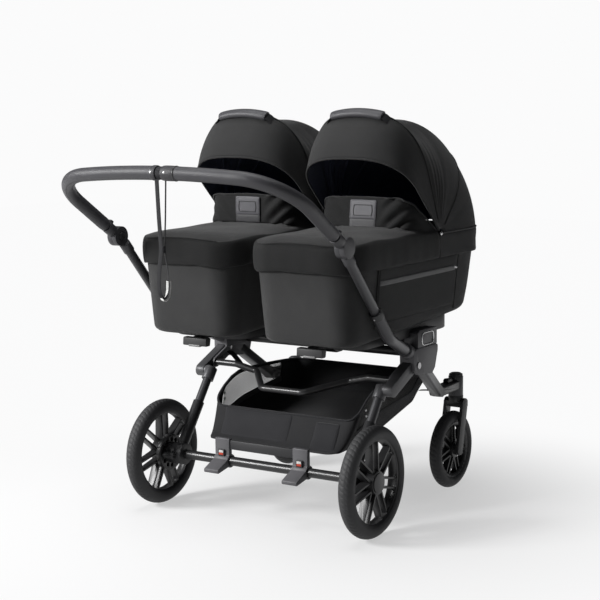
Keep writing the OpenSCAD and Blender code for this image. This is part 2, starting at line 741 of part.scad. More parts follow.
function shell_ring(t, in) =
  let (w = mix(rim_w - 24, rim_w, t) - in, oval = mix(150, 172, t))
  let (foot = mix(foot_lean, 0, pow(t, 0.8)) - rim_foot + in, head = mix(rim_head - 45, rim_head, sqrt(t)) - in)
  raise(plan(w, foot, mix(45, 85, t), head, oval), mix(floor_z, rim_z, t), 0.05 * (1 - t));

module cot_shell(side) {
  rings = concat(
    [shell_ring(0, 14)], [for (t = [0.06, 0.4, 0.7, 1]) shell_ring(t, 0)],
    [for (t = [1, 0.7, 0.4]) shell_ring(t, shell_t)],
    [lift(shell_ring(0.03, shell_t + 3), 2)]
  );
  color([0.13, 0.13, 0.14]) at_cot(side)
    stack(rings, [0, 300, floor_z + 15], [0, 300, floor_z + 15 + shell_t + 2]);
}

module mattress(side) {
  low = lift(shell_ring(0.03, shell_t + 8), 3);
  high = lift(low, mattress_t);
  crown = lift(shell_ring(0.03, shell_t + 26), 3 + mattress_t + 5);
  color([0.75, 0.75, 0.74]) at_cot(side)
    stack([low, high, crown], [0, 300, floor_z + 15 + shell_t + 4], [0, 300, floor_z + mattress_t + 32]);
}

module cot_base(side) {
  p = plan(base_w, 24, 40, 560, 110);
  hollow = plan(base_w - 14, 38, 30, 546, 100);
  roof = floor_z - skin_gap - 5;
  rings = [raise(hollow, roof, 0.05), raise(hollow, base_z, 0), raise(p, base_z, 0),
    raise(p, floor_z - skin_gap, 0.05)];
  color([0.09, 0.09, 0.1]) at_cot(side) {
    stack(rings, [0, 300, roof + 14], [0, 300, floor_z - skin_gap + 14]);
    translate([-14, -20, base_z]) cube([28, 50, 8]);
    plate_x(rounded([[-36, base_z - 16], [-16, base_z - 16], [-12, base_z + 6], [-34, base_z + 6]], 4), -38, 38);
  }
}

// Apron: top cover with a skirt round the foot half and a raised wind flap at the mouth
function apron_x(y, in) =
  let (r = 76, w = rim_w + skin_gap + fabric_t - in, f = -rim_foot - skin_gap - fabric_t + in)
  y > f + r ? w : w - r + sqrt(max(0, r * r - pow(f + r - y, 2)));
function apron_row(y, w, low, edge, crown, in) = concat(
  [[w, y, low], [w, y, edge - 6]],
  [for (i = [0:14]) let (s = cos(180 * i / 14), u = 1 - pow(abs(s), 4)) [(w - 4) * s, y, edge + crown * u - in]],
  [[-w, y, edge - 6], [-w, y, low]]
);
function flap_row(side_y, mid_y, w, low, edge, h, in) = concat(
  [[w, side_y, low], [w, side_y, edge - 6]],
  [for (i = [0:14]) let (s = cos(180 * i / 14), u = 1 - pow(abs(s), 6))
    [(w - 4) * s, mix(side_y, mid_y + in, u), edge + h * u - in * 0.6]],
  [[-w, side_y, edge - 6], [-w, side_y, low]]
);
function apron_rows(in) =
  let (low = rim_z - skirt_h, edge = rim_z + 8 + fabric_t, foot = -rim_foot - skin_gap - fabric_t + in)
  let (w = rim_w + skin_gap + fabric_t - in)
  concat(
    [flap_row(352, 247, w, low, edge, flap_h - 12, in),
     flap_row(320, 241, w, low, edge, (flap_h - 12) * 0.55, in),
     flap_row(285, 235, w, low, edge, 16, in)],
    [for (y = [225, 130, 40, -5, -35, -60, -76]) apron_row(y, apron_x(y, in), low, edge, 14, in)],
    [let (y = in > 0 ? foot + 0.1 : foot + 3) apron_row(y, apron_x(y, in), low, edge - 4, 6, in)],
    [[for (q = apron_row(foot, apron_x(foot + 2, in), low, edge, 0, 0)) [q.x, foot, low]]]
  );

module apron(side) {
  color([0.12, 0.12, 0.13]) at_cot(side) sheet(apron_rows(0), apron_rows(fabric_t - 1));
}

// Hood sections are arches in planes through the pivot axis.
function arch(w, r0, top, p) = concat(
  [[w, 12], [w, r0 * 0.5], [w, r0 * 0.8]],
  [for (i = [0:16]) let (a = 180 * i / 16, c = cos(a))
    [w * sign(c) * pow(abs(c), p), r0 + (top - r0) * pow(sin(a), p)]],
  [[-w, r0 * 0.8], [-w, r0 * 0.5], [-w, 12]]
);
function to_bow(a) = max(0, min(1, (a - 85) / (bow_angle - 85)));
function hood_shoulder(a) = mix(hood_r - 175, 100, min(1, a / 40) * (1 - to_bow(a)));
function hood_section(a, top, in) =
  [for (q = arch(rim_w + skin_gap + 4 - in, hood_shoulder(a), top - in, mix(1, bow_square, to_bow(a))))
    [q.x, hood_y + q.y * cos(a), hood_z + q.y * sin(a)]];
function hood_top(a) =
  a < 50 ? mix(hood_r - 3, hood_r - 20, pow(a / 50, 1.5))
  : a < 85 ? mix(hood_r - 20, hood_r - 36, (a - 50) / 35)
  : mix(hood_r - 36, visor_r - 8, pow(to_bow(a), 3.5));
function hood_rows(angles, in) = [for (a = angles) hood_section(a, hood_top(a), in)];

module hood_back(side) {
  angles = [0, 12, 24, 36, 46];
  w = rim_w + skin_gap;
  color([0.1, 0.1, 0.11]) at_cot(side) {
    sheet(hood_rows(angles, 0), hood_rows(angles, fabric_t - 1));
    translate([0, 0, rim_z - skirt_h]) linear_extrude(height = skirt_h + hood_up - skin_gap) intersection() {
      difference() {
        polygon(plan(w + fabric_t + 1, -rim_foot - 6, 85, rim_head + skin_gap + fabric_t + 1, 176));
        polygon(plan(w, -rim_foot - 1, 85, rim_head + skin_gap, 172));
      }
      translate([-300, 356]) square([600, 600]);
    }
    for (s = [-1, 1]) on_side(s) disc_x(hood_y, hood_z, 9, w, w + 7);
  }
}

module hood_canopy(side) {
  angles = [46.3, 58, 70, 82, 94, 106, bow_angle - 0.7];
  color([0.1, 0.1, 0.11]) at_cot(side) sheet(hood_rows(angles, 0), hood_rows(angles, fabric_t - 1));
}

function visor_rows(in) = [
  for (v = [[0, 0], [2.5, 0], [8, -11], [15, -30], [22, -56]])
    hood_section(bow_angle + v[0], visor_r + v[1], in)
];

module hood_visor(side) {
  color([0.09, 0.09, 0.1]) at_cot(side) sheet(visor_rows(0), visor_rows(fabric_t - 1));
}

function visor_arc(x) = hood_r - 175 + (visor_r - hood_r + 175)
  * pow(1 - pow(abs(x) / (rim_w + skin_gap + 4), 2 / bow_square), bow_square / 2);

module hood_handle(side) {
  a = bow_angle + 2;
  top = visor_r + 17;
  foot = 79;
  out = concat(
    [for (i = [-8:8]) let (x = foot * i / 8) [x, top - 0.0026 * x * x]],
    [for (x = [foot, foot - 14]) [x, visor_arc(x) + 0.5]],
    [for (i = [6:-1:-6]) let (x = (foot - 17) * i / 6) [x, top - 9 - 0.003 * x * x]],
    [for (x = [14 - foot, -foot]) [x, visor_arc(x) + 0.5]]
  );
  color([0.22, 0.21, 0.22]) at_cot(side)
    frame([0, hood_y, hood_z], [1, 0, 0], [0, cos(a), sin(a)], [0, -sin(a), cos(a)])
      translate([0, 0, -16]) linear_extrude(height = 32) polygon(out);
}

place() {
  side_hub(-1);  // side_hub_left
  side_hub(1);  // side_hub_right
  cross_tubes();
  center_bracket();
  cot_adapters();
  front_leg(-1);  // front_leg_left
  front_leg(1);  // front_leg_right
  caster_housing(-1);  // caster_housing_left
  caster_housing(1);  // caster_housing_right
  handle_sleeve(-1);  // handle_sleeve_left
  handle_sleeve(1);  // handle_sleeve_right
  basket();
  pivot_pins();
  rear_leg(-1);  // rear_leg_left
  rear_leg(1);  // rear_leg_right
  leg_brackets();
  axle_tube();
  axle_block(-1);  // axle_block_left
  axle_block(1);  // axle_block_right
  suspension_buffers();
  brake_pedals();
  brake_link();
  brake_pin(-1);  // brake_pin_left
  brake_pin(1);  // brake_pin_right
  rear_tyre(-1);  // rear_tyre_left
  rear_rim(-1);  // rear_rim_left
  rear_tyre(1);  // rear_tyre_right
  rear_rim(1);  // rear_rim_right
  caster_fork(-1);  // caster_fork_left
  caster_fork(1);  // caster_fork_right
  front_tyre(-1);  // front_tyre_left
  front_rim(-1);  // front_rim_left
  front_tyre(1);  // front_tyre_right
  front_rim(1);  // front_rim_right
  swivel_lock(-1);  // swivel_lock_left
  swivel_lock(1);  // swivel_lock_right
  fold_bow();
  handle_tube(-1);  // handle_tube_left
  handle_tube(1);  // handle_tube_right
  handle_button(-1);  // handle_button_left
  handle_button(1);  // handle_button_right
  handlebar();
  grip_cover();
  wrist_strap();
  cot_shell(-1);  // cot_shell_left
  cot_base(-1);  // cot_base_left
  mattress(-1);  // mattress_left
  apron(-1);  // apron_left
  hood_back(-1);  // hood_back_left
  hood_canopy(-1);  // hood_canopy_left
  hood_visor(-1);  // hood_visor_left
  hood_handle(-1);  // hood_handle_left
  cot_shell(1);  // cot_shell_right
  cot_base(1);  // cot_base_right
  mattress(1);  // mattress_right
  apron(1);  // apron_right
  hood_back(1);  // hood_back_right
  hood_canopy(1);  // hood_canopy_right
  hood_visor(1);  // hood_visor_right
  hood_handle(1);  // hood_handle_right
}
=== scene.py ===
import math

import bmesh
import bpy
import numpy as np
from mathutils import Matrix, Vector


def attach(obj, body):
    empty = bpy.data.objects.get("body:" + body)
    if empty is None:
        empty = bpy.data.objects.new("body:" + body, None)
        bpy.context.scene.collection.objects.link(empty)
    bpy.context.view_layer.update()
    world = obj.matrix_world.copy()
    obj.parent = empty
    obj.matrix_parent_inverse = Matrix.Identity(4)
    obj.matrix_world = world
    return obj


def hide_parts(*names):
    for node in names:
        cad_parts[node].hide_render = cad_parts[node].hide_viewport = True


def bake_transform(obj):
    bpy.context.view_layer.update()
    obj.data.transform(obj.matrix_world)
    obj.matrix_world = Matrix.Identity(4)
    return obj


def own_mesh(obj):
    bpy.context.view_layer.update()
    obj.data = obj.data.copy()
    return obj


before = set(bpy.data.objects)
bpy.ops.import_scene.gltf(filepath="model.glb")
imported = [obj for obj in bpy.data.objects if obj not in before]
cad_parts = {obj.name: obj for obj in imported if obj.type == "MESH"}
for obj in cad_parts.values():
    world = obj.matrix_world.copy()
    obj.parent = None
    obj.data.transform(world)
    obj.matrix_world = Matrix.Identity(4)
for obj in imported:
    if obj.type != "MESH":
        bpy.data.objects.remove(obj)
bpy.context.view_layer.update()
scene = bpy.context.scene
scene.view_settings.view_transform = "Standard"


# Camera: a long lens behind and to the right of the pram, a little above the handle.
# Its place and turn were solved from the wheels and the frame in the photograph.
camera = bpy.data.objects.new("camera", bpy.data.cameras.new("camera"))
scene.collection.objects.link(camera)
camera.data.sensor_width = 36
camera.data.lens = 89.325
camera.data.clip_end = 60
camera.matrix_world = (
    Matrix.Translation((2.2051, -3.289954, 1.1151))
    @ Matrix.Rotation(math.radians(33.311), 4, "Z")
    @ Matrix.Rotation(math.radians(82.206), 4, "X")
    @ Matrix.Rotation(math.radians(-0.719), 4, "Z")
)
scene.camera = camera


# Studio: a broad soft lamp on the handle side, left of the camera, a weak one overhead
# and pale walls all round. The floor is white paper that fades into the backdrop.
def soft_lamp(name, place, aim, size, watts):
    lamp = bpy.data.objects.new(name, bpy.data.lights.new(name, "AREA"))
    scene.collection.objects.link(lamp)
    lamp.data.shape = "DISK"
    lamp.data.size = size
    lamp.data.energy = watts
    lamp.location = place
    lamp.rotation_euler = (Vector(aim) - Vector(place)).to_track_quat("-Z", "Y").to_euler()


soft_lamp("key_lamp", (-2.9, -3.3, 2.5), (0, 0, 0.6), 1.7, 258)
soft_lamp("top_lamp", (-0.3, -0.3, 3.6), (0, 0, 0.5), 2.4, 46)


def new_finish(name, rough, metal=0.0):
    finish = bpy.data.materials.new(name)
    finish.use_nodes = True
    shader = finish.node_tree.nodes["Principled BSDF"]
    shader.inputs["Roughness"].default_value = rough
    shader.inputs["Metallic"].default_value = metal
    return finish, finish.node_tree, shader


def add_node(tree, kind, family="ShaderNode", **settings):
    """A node of a tree: small-letter names are its own settings, capital ones its inputs."""
    made = tree.nodes.new(family + kind)
    for name, value in settings.items():
        if name[0].islower():
            setattr(made, name, value)
        else:
            made.inputs[name.replace("_", " ")].default_value = value
    return made


def wire(tree, *runs):
    """Links nodes: each run is a node, its output, the next node and that one's input."""
    for source, out, target, into in runs:
        tree.links.new(source.outputs[out], target.inputs[into])


PAPER_BOUNCE = 0.42


def paper(name, tone, fade, near):
    """White paper: it takes shadows near the pram and is plain backdrop further off."""
    sheet, tree, shader = new_finish(name, 0.9)
    shader.inputs["Specular IOR Level"].default_value = 0.1
    path = add_node(tree, "LightPath")
    shade = add_node(tree, "MapRange", To_Min=PAPER_BOUNCE, To_Max=tone)
    glow = add_node(tree, "Emission", Color=(0.96, 0.96, 0.962, 1))
    place = add_node(tree, "TexCoord")
    reach = add_node(tree, "VectorMath", operation="LENGTH")
    far = add_node(tree, "MapRange", interpolation_type="SMOOTHSTEP",
                   From_Min=fade[0], From_Max=fade[1], To_Min=near)
    seen = add_node(tree, "Math", operation="MAXIMUM")
    both = add_node(tree, "Math", operation="MULTIPLY")
    mixed = add_node(tree, "MixShader")
    wire(tree, (path, "Is Camera Ray", shade, "Value"), (shade, "Result", shader, "Base Color"),
         (place, "Object", reach, 0), (reach, "Value", far, "Value"),
         (path, "Is Camera Ray", seen, 0), (path, "Is Glossy Ray", seen, 1),
         (seen, 0, both, 0), (far, "Result", both, 1), (both, 0, mixed, "Fac"),
         (shader, "BSDF", mixed, 1), (glow, "Emission", mixed, 2),
         (mixed, "Shader", tree.nodes["Material Output"], "Surface"))
    return sheet


floor_mesh = bpy.data.meshes.new("floor")
FLOOR_HALF = 9
floor_corners = [(x * FLOOR_HALF, y * FLOOR_HALF, 0) for x, y in ((-1, -1), (1, -1), (1, 1), (-1, 1))]
floor_mesh.from_pydata(floor_corners, [], [(0, 1, 2, 3)])
floor = bpy.data.objects.new("floor", floor_mesh)
scene.collection.objects.link(floor)
floor_mesh.materials.append(paper("floor_paper", 0.98, (0.4, 1.3), 0.53))

world = bpy.data.worlds.new("studio")
scene.world = world
world.use_nodes = True
room = world.node_tree
backdrop = add_node(room, "Background", Color=(0.965, 0.965, 0.967, 1))
walls = room.nodes["Background"]
walls.inputs["Color"].default_value = (0.93, 0.96, 1, 1)
walls.inputs["Strength"].default_value = 0.07
rays = add_node(room, "LightPath")
shown = add_node(room, "MixShader")
wire(room, (rays, "Is Camera Ray", shown, "Fac"), (walls, "Background", shown, 1),
     (backdrop, "Background", shown, 2), (shown, "Shader", room.nodes["World Output"], "Surface"))


# Frame metal and moulded parts: powder-coated tubes, grained black plastic, satin grey legs.
# They are CAD solids; copies with softened edges stand for those whose edges show.
MIX_COLOUR = 2


def tint(tree, shader, cloud, dark, light, out="Fac"):
    """A base colour between two tones that follows a cloud of noise."""
    tone = add_node(tree, "Mix", data_type="RGBA")
    for socket in tone.inputs:
        if socket.type == "RGBA":
            socket.default_value = (*(dark if socket.name == "A" else light), 1)
    wire(tree, (cloud, out, tone, "Factor"), (tone, MIX_COLOUR, shader, "Base Color"))


def vary_gloss(tree, shader, cloud, low, high):
    """Roughness that follows a cloud of noise."""
    gloss = add_node(tree, "MapRange", To_Min=low, To_Max=high)
    wire(tree, (cloud, "Fac", gloss, "Value"), (gloss, "Result", shader, "Roughness"))


def emboss(tree, shader, source, out, strength, height):
    """Relief on a finish, from a node's output."""
    bump = add_node(tree, "Bump", Strength=strength, Distance=height)
    wire(tree, (source, out, bump, "Height"), (bump, "Normal", shader, "Normal"))
    return bump


def grained(name, dark, light, rough, metal=0.0, patch=9.0, grain=700.0, lift=0.00012, coat=0.0):
    """A moulded or coated finish: broad tone changes, fine grain, uneven gloss."""
    finish, tree, shader = new_finish(name, rough, metal)
    place = add_node(tree, "TexCoord")
    broad = add_node(tree, "TexNoise", Scale=patch, Detail=5.0)
    fine = add_node(tree, "TexNoise", Scale=grain, Detail=2.0)
    wire(tree, (place, "Object", broad, "Vector"), (place, "Object", fine, "Vector"))
    tint(tree, shader, broad, dark, light)
    vary_gloss(tree, shader, broad, rough - 0.08, rough + 0.08)
    emboss(tree, shader, fine, "Fac", 0.6, lift)
    shader.inputs["Coat Weight"].default_value = coat
    shader.inputs["Coat Roughness"].default_value = 0.12
    return finish


tube_grey = grained("tube_powder_coat", (0.055, 0.055, 0.06), (0.085, 0.085, 0.09), 0.42, 0.25)
link_grey = grained("link_powder_coat", (0.08, 0.08, 0.085), (0.115, 0.115, 0.12), 0.45, 0.2)
hub_shell = grained("hub_shell_grey", (0.12, 0.118, 0.125), (0.165, 0.163, 0.172), 0.5)
moulded = grained("moulded_black", (0.022, 0.022, 0.024), (0.036, 0.036, 0.038), 0.46)
hub_grey = grained("hub_anthracite", (0.05, 0.049, 0.054), (0.075, 0.074, 0.08), 0.48)
lacquer = grained("black_lacquer", (0.02, 0.02, 0.021), (0.032, 0.032, 0.033), 0.36,
                  patch=14.0, grain=300.0, lift=0.00003, coat=0.12)
bright = grained("bright_steel", (0.52, 0.52, 0.53), (0.68, 0.68, 0.68), 0.28, 0.9)
pin_steel = grained("pin_steel", (0.34, 0.34, 0.35), (0.45, 0.45, 0.45), 0.32, 0.9)


def two_tone(name, front, back, split, rough, metal):
    """A leg of two lengths: a bright satin sleeve behind the split, a dark moulded end before it."""
    finish, tree, shader = new_finish(name, rough, metal)
    fade, cloudiness = 0.06, 0.12
    place = add_node(tree, "TexCoord")
    parts = add_node(tree, "SeparateXYZ")
    step = add_node(tree, "MapRange", From_Min=split, From_Max=split + fade)
    cloud = add_node(tree, "TexNoise", Scale=14.0, Detail=4.0)
    vary = add_node(tree, "Math", operation="MULTIPLY_ADD")
    vary.inputs[1].default_value = cloudiness
    wire(tree, (place, "Object", parts, "Vector"), (place, "Object", cloud, "Vector"),
         (parts, "Y", step, "Value"), (cloud, "Fac", vary, 0), (step, "Result", vary, 2))
    tint(tree, shader, vary, back, front, 0)
    vary_gloss(tree, shader, cloud, rough - 0.06, rough + 0.1)
    return finish


leg_grey = two_tone("leg_satin_metal", (0.025, 0.025, 0.026), (0.17, 0.17, 0.174), 0.262, 0.32, 0.4)


def dress(node, finish):
    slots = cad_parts[node].data.materials
    slots.clear()
    slots.append(finish)


def settle(obj):
    """Turns an object's modifiers into a plain mesh."""
    graph = bpy.context.evaluated_depsgraph_get()
    graph.update()
    plain = bpy.data.meshes.new_from_object(obj.evaluated_get(graph))
    obj.modifiers.clear()
    obj.data = plain
    return obj


def smooth_shade(obj, sharp=0):
    """Smooth faces, kept crisp along edges that turn more than the sharp angle, if one is given."""
    obj.data.polygons.foreach_set("use_smooth", [True] * len(obj.data.polygons))
    if sharp:
        obj.data.set_sharp_from_angle(angle=math.radians(sharp))


def fit(piece, body, slot, *nodes):
    """Fixes a piece to the body that carries it; it stands for the solids that are named."""
    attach(piece, body)
    if nodes:
        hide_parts(*nodes)
    return piece


def soften(node, finish, width, body, slot):
    """A copy of a CAD node with its edges rounded over, which stands for the node."""
    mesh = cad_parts[node].data.copy()
    work = bmesh.new()
    work.from_mesh(mesh)
    bmesh.ops.remove_doubles(work, verts=work.verts, dist=2e-6)
    bmesh.ops.dissolve_limit(work, angle_limit=math.radians(0.5), verts=work.verts, edges=work.edges)
    work.to_mesh(mesh)
    work.free()
    mesh.materials.clear()
    mesh.materials.append(finish)
    obj = bpy.data.objects.new(node + "_soft_edge", mesh)
    scene.collection.objects.link(obj)
    edge = obj.modifiers.new("edge", "BEVEL")
    edge.width = width
    edge.segments = 2
    edge.limit_method = "ANGLE"
    edge.angle_limit = math.radians(38)
    edge.use_clamp_overlap = True
    settle(obj)
    smooth_shade(obj, 32)
    return fit(obj, body, slot, node)


for side in ("left", "right"):
    soften("side_hub_" + side, hub_shell, 0.0016, "chassis", "dark_plastic")
    soften("front_leg_" + side, leg_grey, 0.0012, "chassis", "frame_metal")
    soften("caster_housing_" + side, hub_grey, 0.0012, "chassis", "dark_plastic")
    dress("rear_leg_" + side, tube_grey)
soften("cot_adapters", hub_grey, 0.0014, "chassis", "dark_plastic")
soften("center_bracket", moulded, 0.0014, "chassis", "dark_plastic")
soften("leg_brackets", link_grey, 0.0012, "rear_frame", "dark_plastic")
dress("cross_tubes", moulded)
dress("pivot_pins", pin_steel)


# Rear axle and brake: a lacquered cross tube held in two moulded blocks, with two foot pedals
# joined by a bar. Each pedal has a small window that shows red or white as the brake turns.
AXLE_Y = -0.125688
SIDES = (("left", -1), ("right", 1))


def row(x, y, z):
    """Millimetres from the floor under the rear axle's middle, to metres in the shared frame."""
    return Vector((x / 1000, y / 1000 + AXLE_Y, z / 1000))


def make(name, verts, faces, finish, uvs=None, smooth=True):
    mesh = bpy.data.meshes.new(name)
    mesh.from_pydata([tuple(v) for v in verts], [], faces)
    if uvs is not None:
        layer = mesh.uv_layers.new(name="cut")
        corner = np.zeros(len(mesh.loops), np.int32)
        mesh.loops.foreach_get("vertex_index", corner)
        layer.data.foreach_set("uv", np.asarray(uvs, np.float32)[corner].ravel())
    mesh.polygons.foreach_set("use_smooth", [smooth] * len(mesh.polygons))
    mesh.materials.append(finish)
    obj = bpy.data.objects.new(name, mesh)
    scene.collection.objects.link(obj)
    return obj


def facing_out(obj, join=1e-6):
    """Turns every face outwards, after points closer than join are merged."""
    work = bmesh.new()
    work.from_mesh(obj.data)
    if join:
        bmesh.ops.remove_doubles(work, verts=work.verts, dist=join)
    bmesh.ops.recalc_face_normals(work, faces=work.faces)
    work.to_mesh(obj.data)
    work.free()
    return obj


def block(name, low, high, finish, edge, body, slot):
    """A small moulded block between two corners in pram millimetres, with rounded edges."""
    a, b = row(*low), row(*high)
    corners = [(x, y, z) for x in (a.x, b.x) for y in (a.y, b.y) for z in (a.z, b.z)]
    faces = [(0, 1, 3, 2), (4, 6, 7, 5), (0, 4, 5, 1), (2, 3, 7, 6), (0, 2, 6, 4), (1, 5, 7, 3)]
    obj = make(name, corners, faces, finish)
    facing_out(obj)
    round_over = obj.modifiers.new("edge", "BEVEL")
    round_over.width = edge / 1000
    round_over.segments = 3
    settle(obj)
    obj.data.set_sharp_from_angle(angle=math.radians(40))
    fit(obj, body, slot)
    return obj


pedal_grey = grained("pedal_anthracite", (0.095, 0.093, 0.1), (0.13, 0.128, 0.136), 0.52)
red_mark = grained("window_red", (0.5, 0.045, 0.02), (0.62, 0.07, 0.03), 0.4)
white_mark = grained("window_white", (0.7, 0.68, 0.66), (0.8, 0.79, 0.77), 0.4)
PEDAL_X = 125
soften("brake_pedals", pedal_grey, 0.0022, "brake", "dark_plastic")
soften("brake_link", moulded, 0.0015, "brake", "dark_plastic")
for side, sign in SIDES:
    soften("axle_block_" + side, moulded, 0.0014, "rear_axle", "dark_plastic")
    dress("brake_pin_" + side, bright)
    x = sign * PEDAL_X
    for part, low, high, finish, edge in (
        ("frame", (x - 10, -14.5, 159), (x + 10, -10.5, 178), moulded, 1.2),
        ("red", (x - 7, -15, 162), (x + 7, -12, 168), red_mark, 0.5),
        ("white", (x - 7, -15, 168.4), (x + 7, -12, 175), white_mark, 0.5),
    ):
        block(f"brake_window_{part}_{side}", low, high, finish, edge, "brake", "dark_plastic")
dress("axle_tube", lacquer)
dress("suspension_buffers", grained("buffer_rubber", (0.05, 0.045, 0.04), (0.08, 0.07, 0.06), 0.7))


# Wheels: foam-filled tyres with fine curved grooves on moulded rims with pairs of thin spokes.
# One tread wedge is turned round the axle to make each tyre.
def tyre_wedge(radius, width, depth, count):
    """One of the equal wedges of a tyre about the X axis, as rows of points."""
    half = width / 2
    bed = radius - depth
    section = []
    for k in range(41):
        turn = math.radians(-128 + 256 * k / 40)
        section.append((half * math.sin(turn), radius - half + half * math.cos(turn)))
    inner = [(x * 0.92, bed) for x in (half * 0.76, half * 0.4, 0, -half * 0.4, -half * 0.76)]
    step = 2 * math.pi / count
    rows = []
    for column in range(5):
        share = (0, 0.42, 0.55, 0.68, 1)[column]
        ring = []
        for x, r in section:
            across = x / half
            tread = max(0.0, 1 - (across / 0.82) ** 6)
            cut = 0.0009 * tread if column == 2 else 0.0
            rib = 0.0008 * tread * max(0.0, 1 - abs(abs(across) - 0.34) / 0.035)
            rib += 0.0008 * tread * max(0.0, 1 - abs(abs(across) - 0.68) / 0.035)
            turn = step * (share + 1.6 * across * abs(across) * tread)
            ring.append((x, (r - cut - rib) * math.cos(turn), (r - cut - rib) * math.sin(turn)))
        for x, r in inner:
            ring.append((x, r * math.cos(step * share), r * math.sin(step * share)))
        rows.append(ring)
    return rows


def grid_faces(rows, cols, wrap=False):
    last = cols if wrap else cols - 1
    return [
        (j * cols + i, j * cols + (i + 1) % cols, (j + 1) * cols + (i + 1) % cols, (j + 1) * cols + i)
        for j in range(rows - 1) for i in range(last)
    ]


def capped_faces(rows, cols):
    """The faces of closed rings of points, with both ends shut."""
    ends = [tuple(reversed(range(cols))), tuple(range((rows - 1) * cols, rows * cols))]
    return grid_faces(rows, cols, True) + ends


def node_tree(name, sizes):
    """An empty geometry tree with one named number input for each size."""
    tree = bpy.data.node_groups.new(name, "GeometryNodeTree")
    tree.interface.new_socket("Geometry", in_out="INPUT", socket_type="NodeSocketGeometry")
    ids = {}
    for label, value in sizes.items():
        kind = "NodeSocketInt" if isinstance(value, int) else "NodeSocketFloat"
        ids[label] = tree.interface.new_socket(label, in_out="INPUT", socket_type=kind).identifier
    tree.interface.new_socket("Geometry", in_out="OUTPUT", socket_type="NodeSocketGeometry")
    return tree, tree.nodes.new("NodeGroupInput"), tree.nodes.new("NodeGroupOutput"), ids


def run_tree(obj, tree, ids, sizes):
    made = obj.modifiers.new(tree.name, "NODES")
    made.node_group = tree
    for label, value in sizes.items():
        made[ids[label]] = value
    return settle(obj)


def geo_node(tree, kind, **settings):
    return add_node(tree, kind, "GeometryNode", **settings)


def turn_round(obj, count, finish):
    """Turns count copies of a wedge round the X axis and joins them."""
    sizes = {"Copies": count}
    tree, source, result, ids = node_tree(obj.name + "_turn", sizes)
    points = geo_node(tree, "MeshLine", Offset=(0, 0, 0))
    index = geo_node(tree, "InputIndex")
    share = add_node(tree, "Math", operation="DIVIDE")
    angle = add_node(tree, "Math", operation="MULTIPLY")
    angle.inputs[1].default_value = 2 * math.pi
    spin = add_node(tree, "CombineXYZ")
    copies = geo_node(tree, "InstanceOnPoints")
    real = geo_node(tree, "RealizeInstances")
    weld = geo_node(tree, "MergeByDistance", Distance=1e-5)
    paint = geo_node(tree, "SetMaterial", Material=finish)
    wire(tree, (source, "Copies", points, "Count"), (index, 0, share, 0), (source, "Copies", share, 1),
         (share, 0, angle, 0), (angle, 0, spin, "X"), (points, "Mesh", copies, "Points"),
         (source, "Geometry", copies, "Instance"), (spin, "Vector", copies, "Rotation"),
         (copies, "Instances", real, "Geometry"), (real, "Geometry", weld, "Geometry"),
         (weld, "Geometry", paint, "Geometry"), (paint, "Geometry", result, "Geometry"))
    return run_tree(obj, tree, ids, sizes)


tyre_foam = grained("tyre_foam", (0.031, 0.031, 0.033), (0.06, 0.06, 0.062), 0.62,
                    patch=6.0, grain=420.0, lift=0.0003)
rim_black = grained("rim_black", (0.016, 0.016, 0.017), (0.028, 0.028, 0.029), 0.36)
TYRE_DEPTH = 0.031
WHEELS = (("rear", 337, 0, 0.145, 0.042, 64), ("front", 275, 549, 0.110, 0.036, 48))
for end, x, y, radius, width, count in WHEELS:
    for side, sign in SIDES:
        node, body = f"{end}_tyre_{side}", f"{end}_wheel_{side}"
        rows = tyre_wedge(radius, width, TYRE_DEPTH, count)
        flat = [p for r in rows for p in r]
        tyre = make(node + "_tread", flat, grid_faces(len(rows), len(rows[0]), True), tyre_foam)
        turn_round(tyre, count, tyre_foam)
        tyre.data.transform(Matrix.Translation(row(sign * x, y, radius * 1000)))
        facing_out(tyre)
        smooth_shade(tyre, 50)
        fit(tyre, body, "tyre", node)
        soften(f"{end}_rim_{side}", rim_black, 0.0008, body, "wheel_plastic")


# Front casters: moulded forks that swivel in the housings at the ends of the front legs.
# A sliding lock on each leg holds its fork straight.
for side in ("left", "right"):
    soften("caster_fork_" + side, moulded, 0.002, "caster_" + side, "dark_plastic")
    soften("swivel_lock_" + side, moulded, 0.0012, "swivel_lock_" + side, "dark_plastic")


# Fold bow: one steel rod, bent and lacquered, between the side hubs.
# Lifting it by its middle lets the frame fold.
def smooth_path(points, bend, steps):
    """Points in pram millimetres with each inner corner rounded to the bend radius."""
    pts = [row(*p) for p in points]
    path = [pts[0]]
    for a, b, c in zip(pts, pts[1:], pts[2:]):
        u, v = (b - a).normalized(), (c - b).normalized()
        turn = u.angle(v)
        if turn < 1e-4:
            path.append(b)
            continue
        inward = (v - u * u.dot(v)).normalized()
        middle = b - u * bend * math.tan(turn / 2) + inward * bend
        for k in range(steps + 1):
            part = turn * k / steps
            path.append(middle - inward * bend * math.cos(part) + u * bend * math.sin(part))
    return path + [pts[-1]]


def spaced(path, count):
    """Evenly spaced places along a line of points, and how far along it each one lies."""
    pts = np.array([tuple(p) for p in path], float)
    run = np.r_[0, np.cumsum(np.linalg.norm(np.diff(pts, axis=0), axis=1))]
    marks = np.linspace(0, run[-1], count)
    return list(zip(*(np.interp(marks, run, column) for column in pts.T))), marks


def even_path(path, count):
    return [Vector(p) for p in spaced(path, count)[0]]


